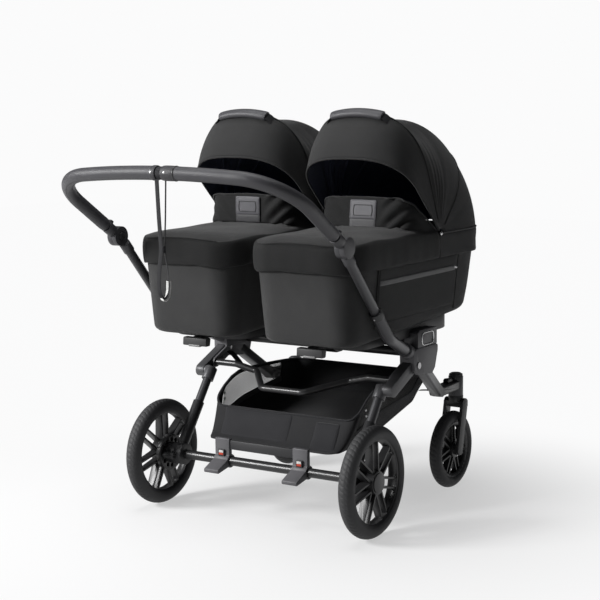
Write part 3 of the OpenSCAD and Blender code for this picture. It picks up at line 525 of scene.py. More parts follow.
def tube(name, path, radius, finish, sides=20, flat=1.0, up=(0, 0, 1), closed=False):
    """A round or flattened rod along a path. A list of radii tapers it; flat thins it across up."""
    pts = [Vector(p) for p in path]
    radii = radius if hasattr(radius, "__len__") else [radius] * len(pts)
    verts, uvs, run, lean = [], [], 0.0, Vector(up)
    for i, p in enumerate(pts):
        if closed:
            along = (pts[(i + 1) % len(pts)] - pts[i - 1]).normalized()
        else:
            along = (pts[min(i + 1, len(pts) - 1)] - pts[max(i - 1, 0)]).normalized()
        lean = (lean - along * lean.dot(along)).normalized()
        wide = along.cross(lean)
        run += (p - pts[i - 1]).length if i else 0.0
        for k in range(sides):
            turn = 2 * math.pi * k / sides
            verts.append(p + radii[i] * (math.cos(turn) * wide + flat * math.sin(turn) * lean))
            uvs.append((run, turn * radii[i]))
    rings = len(pts)
    if closed:
        last = (rings - 1) * sides
        faces = grid_faces(rings, sides, True)
        faces += [(last + k, last + (k + 1) % sides, (k + 1) % sides, k) for k in range(sides)]
    else:
        faces = capped_faces(rings, sides)
    obj = make(name, verts, faces, finish, uvs)
    facing_out(obj, 0)
    obj.data.set_sharp_from_angle(angle=math.radians(50))
    return obj


half_bow = [(290, 190, 370), (217, 190, 370), (152, 199, 354), (67, 99, 331)]
bow_points = half_bow + [(-x, y, z) for x, y, z in reversed(half_bow)]
bow = tube("fold_bow_rod", smooth_path(bow_points, 0.02, 8), 0.009, lacquer)
fit(bow, "fold_bow", "gloss_black", "fold_bow")


# Handle posts: bent powder-coated sleeves rise from the side hubs, and the telescopic tubes slide
# in them. A moulded collar closes each sleeve; a round button in each joint frees the handlebar.
# A plain rim marks the badge place on each outer adapter.
def bare_mesh(name, verts, edges):
    """Points and edges for a geometry tree to build on."""
    base = bpy.data.meshes.new(name)
    base.from_pydata(verts, edges, [])
    obj = bpy.data.objects.new(name, base)
    scene.collection.objects.link(obj)
    return obj


def bead_copies(tree, source, result, points, way, widths, facets, finish):
    """Round beads on points, each turned its way; widths name the inputs for X, Y and Z."""
    bead = geo_node(tree, "MeshUVSphere", Segments=facets[0], Rings=facets[1])
    shape = add_node(tree, "CombineXYZ")
    turn = add_node(tree, "AlignRotationToVector", "FunctionNode", axis="Z")
    copies = geo_node(tree, "InstanceOnPoints")
    real = geo_node(tree, "RealizeInstances")
    paint = geo_node(tree, "SetMaterial", Material=finish)
    tree.links.new(points, copies.inputs["Points"])
    tree.links.new(way, turn.inputs["Vector"])
    wire(tree, *((source, label, shape, axis) for axis, label in zip("XYZ", widths)))
    wire(tree, (bead, "Mesh", copies, "Instance"), (shape, "Vector", copies, "Scale"),
         (turn, "Rotation", copies, "Rotation"), (copies, "Instances", real, "Geometry"),
         (real, "Geometry", paint, "Geometry"), (paint, "Geometry", result, "Geometry"))


def dome_studs(name, places, radius, height, finish, body, slot):
    """Round heads, each given as a point and the way it faces: screws, rivets and press studs."""
    obj = bare_mesh(name, [tuple(p) for p, _ in places], [])
    aim = obj.data.attributes.new("aim", "FLOAT_VECTOR", "POINT")
    aim.data.foreach_set("vector", [c for _, way in places for c in Vector(way).normalized()])
    sizes = {"Head radius": radius, "Head height": height}
    tree, source, result, ids = node_tree(name + "_heads", sizes)
    facing = geo_node(tree, "InputNamedAttribute", data_type="FLOAT_VECTOR", Name="aim")
    way = next(o for o in facing.outputs if o.enabled)
    bead_copies(tree, source, result, source.outputs["Geometry"], way,
                ("Head radius", "Head radius", "Head height"), (16, 8), finish)
    run_tree(obj, tree, ids, sizes)
    smooth_shade(obj)
    return fit(obj, body, slot)


badge_place = [(284, 464), (286, 456), (294, 452.5), (338, 452.5), (346, 456), (348, 464),
               (348, 474), (346, 482), (338, 485.5), (294, 485.5), (286, 482), (284, 474)]
BADGE_X = 326.6
ELBOW_DROP = 102
SLEEVE_RADIUS, SLEEVE_BEND = 0.0155, 0.06
sleeve_top, sleeve_foot = Vector((345, 6, 580)), Vector((306, 246, 438))
post_way = Vector((0, -153, 175)).normalized()
screw_way = Vector((0, -0.753, -0.658))
for side, sign in SIDES:
    across = lambda p: (sign * p[0], p[1], p[2])
    elbow = sleeve_top - post_way * ELBOW_DROP
    line = smooth_path([across(p) for p in (sleeve_top, elbow, sleeve_foot)], SLEEVE_BEND, 14)
    sleeve = tube("handle_sleeve_bend_" + side, line, SLEEVE_RADIUS, tube_grey, 28, up=(1, 0, 0))
    fit(sleeve, "chassis", "frame_metal", "handle_sleeve_" + side)
    ends = [sleeve_top - post_way * d for d in (23, 22, 20, 2, 0.6, 0)]
    collar = tube("handle_collar_" + side, [row(*across(p)) for p in ends],
                  [0.0156, 0.0172, 0.0176, 0.0176, 0.0172, 0.0158], moulded, 28, up=(1, 0, 0))
    fit(collar, "chassis", "dark_plastic")
    soften("handle_tube_" + side, tube_grey, 0.0012, "handle_tubes", "frame_metal")
    soften("handle_button_" + side, moulded, 0.0012, "handle_button_" + side, "gloss_black")
    screw = sleeve_top - post_way * 12 + screw_way * 17
    dome_studs("sleeve_screw_" + side, [(row(*across(screw)), screw_way)],
               0.0032, 0.0014, pin_steel, "chassis", "bright_metal")
    rim = [row(sign * BADGE_X, y, z) for y, z in badge_place + badge_place[:1]]
    badge = tube("adapter_badge_rim_" + side, even_path(rim, 60)[:-1], 0.0016, bright, 8,
                 up=(1, 0, 0), closed=True)
    fit(badge, "chassis", "bright_metal")


# Handlebar: one bent tube under two sewn leather covers, with a plain collar between them.
# The covers are closed by hand along the underside, and the wrist strap hangs from the gap.
HINGE = row(0, -147, 755)
BAR_RISE = math.radians(34)
BAR_OUT = Vector((0, -math.cos(BAR_RISE), math.sin(BAR_RISE)))
BAR_UP = Vector((0, math.sin(BAR_RISE), math.cos(BAR_RISE)))
ARM_X, ARM_LEN, BAR_CORNER = 352, 178, 140
BAR_BOW = math.radians(8)
STRAP_X = 19
GRIP_RADIUS, GRIP_SIDES = 0.017, 32


def on_bar(x, out, lift=0.0):
    """A point in the handlebar's plane: millimetres across, out from the hinge, and above it."""
    return HINGE + Vector((x / 1000, 0, 0)) + BAR_OUT * (out / 1000) + BAR_UP * (lift / 1000)


def bar_out(x):
    """How far out the gently bowed cross piece runs at x."""
    arc = (ARM_X - BAR_CORNER) / math.sin(BAR_BOW) + BAR_CORNER
    return ARM_LEN + (BAR_CORNER - arc) * math.cos(BAR_BOW) + math.sqrt(arc * arc - x * x)


def bar_line(end_x, sign):
    line = [(ARM_X, s) for s in np.linspace(57.5, ARM_LEN, 16)]
    turns = np.radians(np.linspace(3, 80, 26))
    line += [(ARM_X + BAR_CORNER * (math.cos(a) - 1), ARM_LEN + BAR_CORNER * math.sin(a)) for a in turns]
    line += [(x, bar_out(x)) for x in np.linspace(230, end_x, 44)]
    return [on_bar(sign * x, s) for x, s in line]


def stitch_row(name, line, pitch, size, finish, body, slot):
    """Short thread stitches set end to end along a line that lies on a piece."""
    obj = bare_mesh(name, [tuple(p) for p in line], [(i, i + 1) for i in range(len(line) - 1)])
    sizes = {"Pitch": pitch, "Stitch length": size[0], "Thread radius": size[1]}
    tree, source, result, ids = node_tree(name + "_stitches", sizes)
    curve = geo_node(tree, "MeshToCurve")
    even = geo_node(tree, "ResampleCurve", mode="LENGTH")
    way = geo_node(tree, "InputTangent")
    wire(tree, (source, "Geometry", curve, "Mesh"), (curve, "Curve", even, "Curve"),
         (source, "Pitch", even, "Length"))
    bead_copies(tree, source, result, even.outputs["Curve"], way.outputs["Tangent"],
                ("Thread radius", "Thread radius", "Stitch length"), (6, 4), finish)
    run_tree(obj, tree, ids, sizes)
    smooth_shade(obj)
    return fit(obj, body, slot)


def hide(name, dark, light, rough, pore=900.0):
    """Coated leather: pebbled grain from cells, worn a little smoother and paler in patches."""
    finish, tree, shader = new_finish(name, rough)
    place = add_node(tree, "TexCoord")
    cells = add_node(tree, "TexVoronoi", feature="DISTANCE_TO_EDGE", Scale=pore)
    broad = add_node(tree, "TexNoise", Scale=16.0, Detail=4.0)
    crease = add_node(tree, "MapRange", From_Max=0.12)
    wire(tree, (place, "Object", cells, "Vector"), (place, "Object", broad, "Vector"),
         (cells, "Distance", crease, "Value"))
    tint(tree, shader, broad, dark, light)
    vary_gloss(tree, shader, broad, rough + 0.07, rough - 0.07)
    emboss(tree, shader, crease, "Result", 0.35, 0.0003)
    shader.inputs["Sheen Weight"].default_value = 0.05
    return finish


grip_hide = hide("grip_leather", (0.045, 0.044, 0.05), (0.066, 0.065, 0.072), 0.42)
dark_hide = hide("dark_leather", (0.03, 0.029, 0.033), (0.042, 0.041, 0.046), 0.5)
thread = grained("dark_thread", (0.03, 0.03, 0.034), (0.05, 0.05, 0.054), 0.7, grain=2500.0)
soften("handlebar", hub_grey, 0.0012, "handlebar", "frame_metal")
for side, sign, end_x in (("left", -1, -10), ("right", 1, 28)):
    line = even_path(bar_line(end_x, sign), 150)
    radii = [GRIP_RADIUS] * len(line)
    for k, r in enumerate((0.0145, 0.0163, 0.0168)):
        radii[k] = radii[-1 - k] = r
    grip = tube("grip_leather_" + side, line, radii, grip_hide, GRIP_SIDES, up=BAR_UP)
    fit(grip, "handlebar", "leather")
    if sign > 0:
        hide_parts("grip_cover")
    seam = [p - BAR_UP * (GRIP_RADIUS + 0.0001) for p in line[3:-3]]
    stitch_row("grip_stitches_" + side, seam, 0.005, (0.0019, 0.0005), thread, "handlebar", "leather")
    knob = [on_bar(sign * ARM_X, 44, d) for d in (12, 16, 21, 22.4)]
    cap = tube("arm_knob_" + side, knob, [0.0075, 0.0075, 0.0068, 0.004], moulded, 20, up=(1, 0, 0))
    fit(cap, "handlebar", "dark_plastic")
for part, low, high in (("left", -3, 10.5), ("right", 27.5, 62)):
    line = [on_bar(x, bar_out(x)) for x in np.linspace(low, high, 9)]
    radii = [0.0174, 0.0181] + [0.0183] * 5 + [0.0181, 0.0174]
    collar = tube("grip_collar_" + part, line, radii, dark_hide, GRIP_SIDES, up=BAR_UP)
    fit(collar, "handlebar", "leather")
ring_line = [on_bar(x, bar_out(x)) for x in (61.6, 62.4, 64.6, 65.4)]
ring = tube("collar_ring", ring_line, [0.0178, 0.0186, 0.0186, 0.0178], lacquer, GRIP_SIDES, up=BAR_UP)
fit(ring, "handlebar", "gloss_black")
snap_way = (BAR_OUT * 0.9 - BAR_UP * 0.44).normalized()
dome_studs("collar_snaps", [(on_bar(x, bar_out(x)) + snap_way * 0.0182, snap_way) for x in (1, 41)],
           0.0036, 0.0013, pin_steel, "handlebar", "bright_metal")


# Wrist strap: a woven band looped over the bar, its two strands sewn together above the hand loop.
# A pale glossy piece round the end of the hand loop is painted highlight, where the twisted strap shines.
WAVE_TURN = 0.314


def webbing(name, dark, light, rough, pitch):
    """Woven band: fine ribs across its length, from the piece's own cut."""
    finish, tree, shader = new_finish(name, rough)
    cut = add_node(tree, "UVMap")
    ribs = add_node(tree, "TexWave", Scale=WAVE_TURN / pitch, Distortion=0.4)
    broad = add_node(tree, "TexNoise", Scale=60.0, Detail=3.0)
    wire(tree, (cut, "UV", ribs, "Vector"), (cut, "UV", broad, "Vector"))
    tint(tree, shader, broad, dark, light)
    emboss(tree, shader, ribs, "Fac", 0.6, 0.0004)
    shader.inputs["Sheen Weight"].default_value = 0.03
    shader.inputs["Specular IOR Level"].default_value = 0.25
    return finish


strap_weave = webbing("strap_webbing", (0.014, 0.014, 0.016), (0.024, 0.024, 0.027), 0.6, 0.0012)
STRAP_HALF, STRAP_THIN = 0.0062, 0.15
bar_y, bar_z = -422.83, 941.05
drops = [(-6.5, -9, -10), (-6, -8.2, -40), (-4.4, -6.5, -110), (-2.6, -4, -166), (-2.2, -3.4, -182),
         (-3, -6, -200), (-4, -11, -228), (-4, -14, -258), (-3.6, -13.5, -280), (-2, -9, -295),
         (0, 0, -300)]
strap_marks = drops + [(-x, -y, z) for x, y, z in reversed(drops[:-1])]
strap_line = even_path([row(STRAP_X + x, bar_y + y, bar_z + z) for x, y, z in strap_marks], 120)
for _ in range(8):
    trios = zip(strap_line, strap_line[1:], strap_line[2:])
    strap_line[1:-1] = [(a + 2 * b + c) / 4 for a, b, c in trios]
strap = tube("wrist_strap_band", strap_line, STRAP_HALF, strap_weave, 12, flat=STRAP_THIN, up=(0, 1, 0))
fit(strap, "wrist_strap", "webbing", "wrist_strap")
# Painted highlight: a pale glossy piece at the loop's end stands for the shine of the twisted strap.
strap_highlight_white = grained("strap_painted_highlight", (0.62, 0.62, 0.6), (0.72, 0.72, 0.7), 0.3, coat=0.4)
end_marks = [(3.8, 14.2, -256), (3.7, 13.8, -276), (2.4, 10, -294), (0.2, 1.5, -300.4), (-1.4, -6, -298)]
end_line = even_path([row(STRAP_X + x, bar_y + y, bar_z + z) for x, y, z in end_marks], 24)
strap_end_highlight = tube("wrist_strap_end_highlight", end_line, 0.0074, strap_highlight_white, 14, flat=0.32, up=(0, 1, 0))
fit(strap_end_highlight, "wrist_strap", "webbing")
tack = tube("wrist_strap_tack", [row(STRAP_X, bar_y, bar_z + z) for z in (-172, -174, -186, -188)],
            [0.0062, 0.0072, 0.0072, 0.0062], strap_weave, 14, flat=0.75, up=(0, 1, 0))
fit(tack, "wrist_strap", "webbing")
bar_mid = row(STRAP_X, bar_y, bar_z)
wrap_line = [bar_mid + 0.0146 * (math.cos(a) * BAR_OUT + math.sin(a) * BAR_UP)
             for a in np.linspace(0, 2 * math.pi, 33)[:-1]]
wrap = tube("wrist_strap_wrap", wrap_line, 0.0085, strap_weave, 12, flat=0.13, up=BAR_OUT, closed=True)
fit(wrap, "handlebar", "webbing")


# Basket: a sewn bag hung between the frame's legs, with see-through net let into both sides
# and two pockets on the back wall. It sags a little between its straps.
def woven(name, dark, light, rough, pitch, sheen):
    """Plain-weave cloth: crossing threads from the piece's own cut, with a soft bloom of fibres."""
    finish, tree, shader = new_finish(name, rough)
    cut = add_node(tree, "UVMap")
    place = add_node(tree, "TexCoord")
    warp = add_node(tree, "TexWave", Scale=WAVE_TURN / pitch, Distortion=0.25)
    weft = add_node(tree, "TexWave", bands_direction="Y", Scale=WAVE_TURN / pitch, Distortion=0.25)
    over = add_node(tree, "Math", operation="MAXIMUM")
    broad = add_node(tree, "TexNoise", Scale=22.0, Detail=6.0, Roughness=0.6)
    drape = add_node(tree, "Bump", Strength=0.25, Distance=0.004)
    tint(tree, shader, broad, dark, light)
    threads = emboss(tree, shader, over, 0, 0.5, 0.00035)
    wire(tree, (cut, "UV", warp, "Vector"), (cut, "UV", weft, "Vector"), (warp, "Fac", over, 0),
         (weft, "Fac", over, 1), (place, "Object", broad, "Vector"), (broad, "Fac", drape, "Height"),
         (drape, "Normal", threads, "Normal"))
    shader.inputs["Sheen Weight"].default_value = sheen
    shader.inputs["Sheen Roughness"].default_value = 0.5
    shader.inputs["Specular IOR Level"].default_value = 0.3
    return finish


def mix(a, b, t):
    return a + (b - a) * t


BAG_HALF = (205, 230)
BAG_BACK = (24, 100)
BAG_FRONT = (470, 522)
BAG_CORNER = 30
BAG_RIM_Z = 345
BAG_PEAK_Y = 245
BAG_MIDDLE_Y = 247


def bag_floor(y):
    """The bag's floor is level behind and rises towards the front."""
    return 192 + 0.25 * max(0, y - 180)


def basket_point(place, t, inward=0.0):
    """A point of the bag's wall: place is a wall and a share along it; t runs from floor to rim."""
    wall, share = place
    half = mix(*BAG_HALF, t) - inward
    back, front = mix(*BAG_BACK, t) + inward, mix(*BAG_FRONT, t) - inward
    corner = BAG_CORNER
    if wall == "back":
        x, y = mix(-half + corner, half - corner, share), back
    elif wall == "front":
        x, y = mix(half - corner, -half + corner, share), front
    elif wall == "right":
        x, y = half, mix(back + corner, front - corner, share)
    elif wall == "left":
        x, y = -half, mix(front - corner, back + corner, share)
    else:
        sx, cy, start = {"br": (1, back + corner, -90), "fr": (1, front - corner, 0),
                         "fl": (-1, front - corner, 90), "bl": (-1, back + corner, 180)}[wall]
        turn = math.radians(start + 90 * share)
        x = sx * (half - corner) + corner * math.cos(turn)
        y = cy + corner * math.sin(turn)
    if y < BAG_PEAK_Y:
        dip = 77 * ((BAG_PEAK_Y - y) / 145) ** 2
    else:
        dip = 12 * ((y - BAG_PEAK_Y) / 275) ** 2
    rim_z, floor_z = BAG_RIM_Z - dip, bag_floor(y)
    belly = 5 * math.sin(math.pi * t) ** 2
    if wall in ("back", "front"):
        y += (belly if wall == "front" else -belly * 0.6) * math.sin(math.pi * share)
    if wall in ("right", "left"):
        x += math.copysign(belly * math.sin(math.pi * share), x)
    return Vector((x, y, mix(floor_z, rim_z, t)))


def side_point(side, v, t, inward=0.0):
    """A point of a side wall: v runs from the back to the front on either side."""
    return row(*basket_point((side, v if side == "right" else 1 - v), t, inward))


def cloth(obj, thick, body, offset=-1.0, soft=0):
    """Gives a sheet its thickness, and rides it."""
    wall = obj.modifiers.new("thickness", "SOLIDIFY")
    wall.thickness = thick
    wall.offset = offset
    if soft:
        smooth = obj.modifiers.new("soft", "SUBSURF")
        smooth.levels = soft
        smooth.render_levels = soft
    settle(obj)
    smooth_shade(obj)
    if body:
        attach(obj, body)
    return obj


NET_ROWS = (0.5, 0.95)
NET_SPAN = (0.06, 0.86)
NET_SLACK = 0.01
FLOOR_SHARES = (0.12, 0.4, 0.7, 0.9)
bag_cloth = woven("basket_cloth", (0.011, 0.011, 0.0125), (0.02, 0.02, 0.022), 0.72, 0.0011, 0.15)
bag_pocket = woven("basket_pocket_cloth", (0.012, 0.012, 0.0145), (0.02, 0.02, 0.0235), 0.7, 0.0011, 0.2)
net_cord = woven("basket_net_cord", (0.05, 0.05, 0.05), (0.075, 0.074, 0.073), 0.7, 0.0006, 0.2)
tape_grey = woven("basket_tape", (0.06, 0.06, 0.062), (0.09, 0.09, 0.092), 0.7, 0.0009, 0.2)
side_marks = [0, 0.06, 0.16, 0.26, 0.36, 0.46, 0.56, 0.66, 0.76, 0.86, 0.93]
around = [("back", k / 18) for k in range(18)] + [("br", k / 6) for k in range(6)]
around += [("right", v) for v in side_marks] + [("fr", k / 6) for k in range(6)]
around += [("front", k / 18) for k in range(18)] + [("fl", k / 6) for k in range(6)]
around += [("left", v) for v in [0, 0.07] + [1 - v for v in reversed(side_marks[1:10])]]
around += [("bl", k / 6) for k in range(6)]
heights = [0, 0.06, 0.14, 0.24, 0.34, 0.42, 0.5, 0.62, 0.74, 0.85, 0.95, 1.0]
cols = len(around)
rings = []
for share in FLOOR_SHARES:
    sag = 5 * (1 - share ** 2)
    ring = [basket_point(p, 0) for p in around]
    ring = [Vector((q.x * share, mix(BAG_MIDDLE_Y, q.y, share), 0)) for q in ring]
    rings.append([Vector((q.x, q.y, bag_floor(q.y) - sag)) for q in ring])
rings += [[basket_point(p, t) for p in around] for t in heights]


def within(span, place, slack):
    """Whether a place lies in a span whose two ends are shifted by slack."""
    return span[0] + slack < place < span[1] + slack


bag_faces = []
for face in grid_faces(len(rings), cols, True):
    j, i = divmod(face[0], cols)
    level = j - len(FLOOR_SHARES)
    wall, share = around[i]
    netted = level >= 0 and within(NET_ROWS, heights[level], -NET_SLACK)
    in_right = wall == "right" and within(NET_SPAN, share, -NET_SLACK)
    in_left = wall == "left" and within(NET_SPAN, 1 - share, NET_SLACK)
    if not (netted and (in_right or in_left)):
        bag_faces.append(face)
bag_faces.append(tuple(reversed(range(cols))))
bag_verts = [row(*p) for ring in rings for p in ring]
bag_uv = [(v.x + v.y, v.z + (v.x - v.y) * 0.2) for v in bag_verts]
bag = make("basket_bag", bag_verts, bag_faces, bag_cloth, bag_uv)
cloth(bag, 0.0022, "chassis", 1.0, 1)
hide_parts("basket")
basket_pieces = [bag]
for side in ("right", "left"):
    spans = np.linspace(NET_SPAN[0], NET_SPAN[1], 84)
    levels = np.linspace(NET_ROWS[0], NET_ROWS[1], 15)
    net_verts = [side_point(side, v, t) for t in levels for v in spans]
    net = make("basket_net_" + side, net_verts, grid_faces(len(levels), len(spans)), net_cord,
               [(v.y, v.z) for v in net_verts])
    cords = net.modifiers.new("net", "WIREFRAME")
    cords.thickness = 0.0015
    cords.use_boundary = True
    settle(net)
    fit(net, "chassis", "basket_fabric")
    low_line = [side_point(side, v, 0.46, 3.5) for v in np.linspace(0.05, 0.87, 40)]
    tape = tube("basket_tape_" + side, low_line, 0.0085, tape_grey, 12, flat=0.16, up=(1, 0, 0))
    fit(tape, "chassis", "basket_fabric")
    basket_pieces += [net, tape]


def patch_points(steps, point):
    """Rows of points over a patch, from a function of the shares across and up it."""
    return [point(i / steps[0], j / steps[1]) for j in range(steps[1] + 1) for i in range(steps[0] + 1)]


def swell(u, v, across, up):
    """How far a sewn patch stands out: 1 over its middle and 0 along its edges."""
    return (1 - (2 * u - 1) ** across) * (1 - (2 * v - 1) ** up)


def back_patch(name, low_x, high_x, low_t, high_t, proud, finish, skew):
    """A pocket or flap lying on the bag's back wall, puffed up in its middle."""
    def point(u, v):
        x = mix(low_x + skew * (1 - v), high_x + skew * (1 - v), u)
        t = mix(low_t, high_t, v)
        p = basket_point(("back", 0.5 + x / (2 * (mix(*BAG_HALF, t) - BAG_CORNER))), t)
        puff = proud * swell(u, v, 8, 8) + 2.4
        return row(p.x, p.y - puff * 0.72, p.z - puff * 0.3)

    steps = (22, 12)
    verts = patch_points(steps, point)
    obj = make(name, verts, grid_faces(steps[1] + 1, steps[0] + 1), finish, [(p.x, p.z) for p in verts])
    return cloth(obj, 0.0018, "chassis", 1.0, 1)


basket_pieces.append(back_patch("basket_flap_pocket", -186, 34, 0.42, 1.0, 8.0, bag_pocket, 9.0))
basket_pieces.append(back_patch("basket_side_pocket", 112, 186, 0.3, 0.94, 6.5, bag_pocket, 6.0))
rim_line = [row(*(basket_point(p, 1.0) + Vector((0, 0, 1)))) for p in around]
rim_band = tube("basket_binding", rim_line, 0.0042, bag_pocket, 10, flat=0.7, closed=True)
fit(rim_band, "chassis", "basket_fabric")
basket_pieces.append(rim_band)
for side, sign in SIDES:
    strap_way = [row(sign * 228, 247, 345), row(sign * 240, 247, 356), row(sign * 256, 249, 372),
                 row(sign * 270, 250, 384), row(sign * 283, 251, 392)]
    hanger = tube("basket_hanger_" + side, even_path(strap_way, 14), 0.013, strap_weave, 12, flat=0.1,
                  up=(sign * 0.7, 0, 0.7))
    fit(hanger, "chassis", "webbing")
    front_way = [row(sign * 213, 480, 287), row(sign * 236, 480, 289.5), row(sign * 261, 480, 290)]
    front_tab = tube("basket_front_tab_" + side, even_path(front_way, 9), 0.01, strap_weave, 12, flat=0.12)
    fit(front_tab, "chassis", "webbing")
    places = [(row(sign * (227.5 + 3), y, z), (sign, 0, 0.1)) for y, z in ((150, 292), (152, 276))]
    snaps = dome_studs("basket_snaps_" + side, places, 0.0045, 0.0016, pin_steel, "chassis", "bright_metal")
    basket_pieces += [snaps]
for piece in basket_pieces:
    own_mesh(piece)


# Carrycots: a padded shell in black cloth on a moulded base, with a mattress inside. The foot end
# slopes; each outer side has a flat pocket with a welded zip, closed in by two upright seams.
def arc(middle, wide, deep, start, end, count):
    """Points round part of an oval, from one angle to another."""
    turns = np.radians(np.linspace(start, end, count))
    return [(middle[0] + wide * math.cos(a), middle[1] + deep * math.sin(a)) for a in turns]


def cot_plan(half, foot, corner, head, oval, count):
    """The outline of a carrycot seen from above, evenly spaced from the middle of its foot."""
    line = [(0, foot)] + arc((half - corner, foot + corner), corner, corner, -90, 0, 15)
    line += arc((0, head - oval), half, oval, 0, 180, 61)
    line += arc((corner - half, foot + corner), corner, corner, 180, 270, 15) + [(0, foot)]
    return spaced(line, count + 1)[0][:-1]


COT_X = 182
COT_BACK = 12
FLOOR_Z = 491
RIM_Z = 742


def cot_place(sign):
    """Moves points of a carrycot to its own side of the pram."""
    return lambda p: row(p.x + sign * COT_X, p.y - COT_BACK, p.z)


def shell_sizes(t):
    foot = mix(-58, -88, t ** 0.8)
    return mix(136, 160, t), foot, mix(45, 85, t), mix(653, 698, math.sqrt(t)), mix(150, 172, t)


def shell_level(t, inset=0.0, rise=0.0, count=144):
    half, foot, corner, head, oval = shell_sizes(max(t, 0))
    plan = cot_plan(half - inset, foot + inset, corner, head - inset, oval, count)
    return [Vector((x, y, mix(FLOOR_Z, RIM_Z, t) + 0.05 * (1 - t) * max(0, y) + rise)) for x, y in plan]


def ripple(p, size, seed):
    """A gentle, fixed unevenness for cloth that is pulled over padding."""
    a = math.sin(p.x * 0.031 + p.z * 0.023 + seed) * math.sin(p.y * 0.027 - p.z * 0.017 + seed * 1.7)
    return size * (a + 0.5 * math.sin(p.y * 0.071 + p.x * 0.053 + p.z * 0.044 + seed * 2.3))


def cot_side(y, z):
    """Half the shell's width at a place on its side, seen from the side."""
    t = (z - FLOOR_Z - 0.05 * max(0, y)) / (RIM_Z - FLOOR_Z - 0.05 * max(0, y))
    half, foot, corner, head, oval = shell_sizes(max(0.0, min(1.0, t)))
    if y < foot + corner:
        return half - corner + math.sqrt(max(0, corner ** 2 - (foot + corner - y) ** 2))
    if y < head - oval:
        return half
    return half * math.sqrt(max(0, 1 - ((y - head + oval) / oval) ** 2))


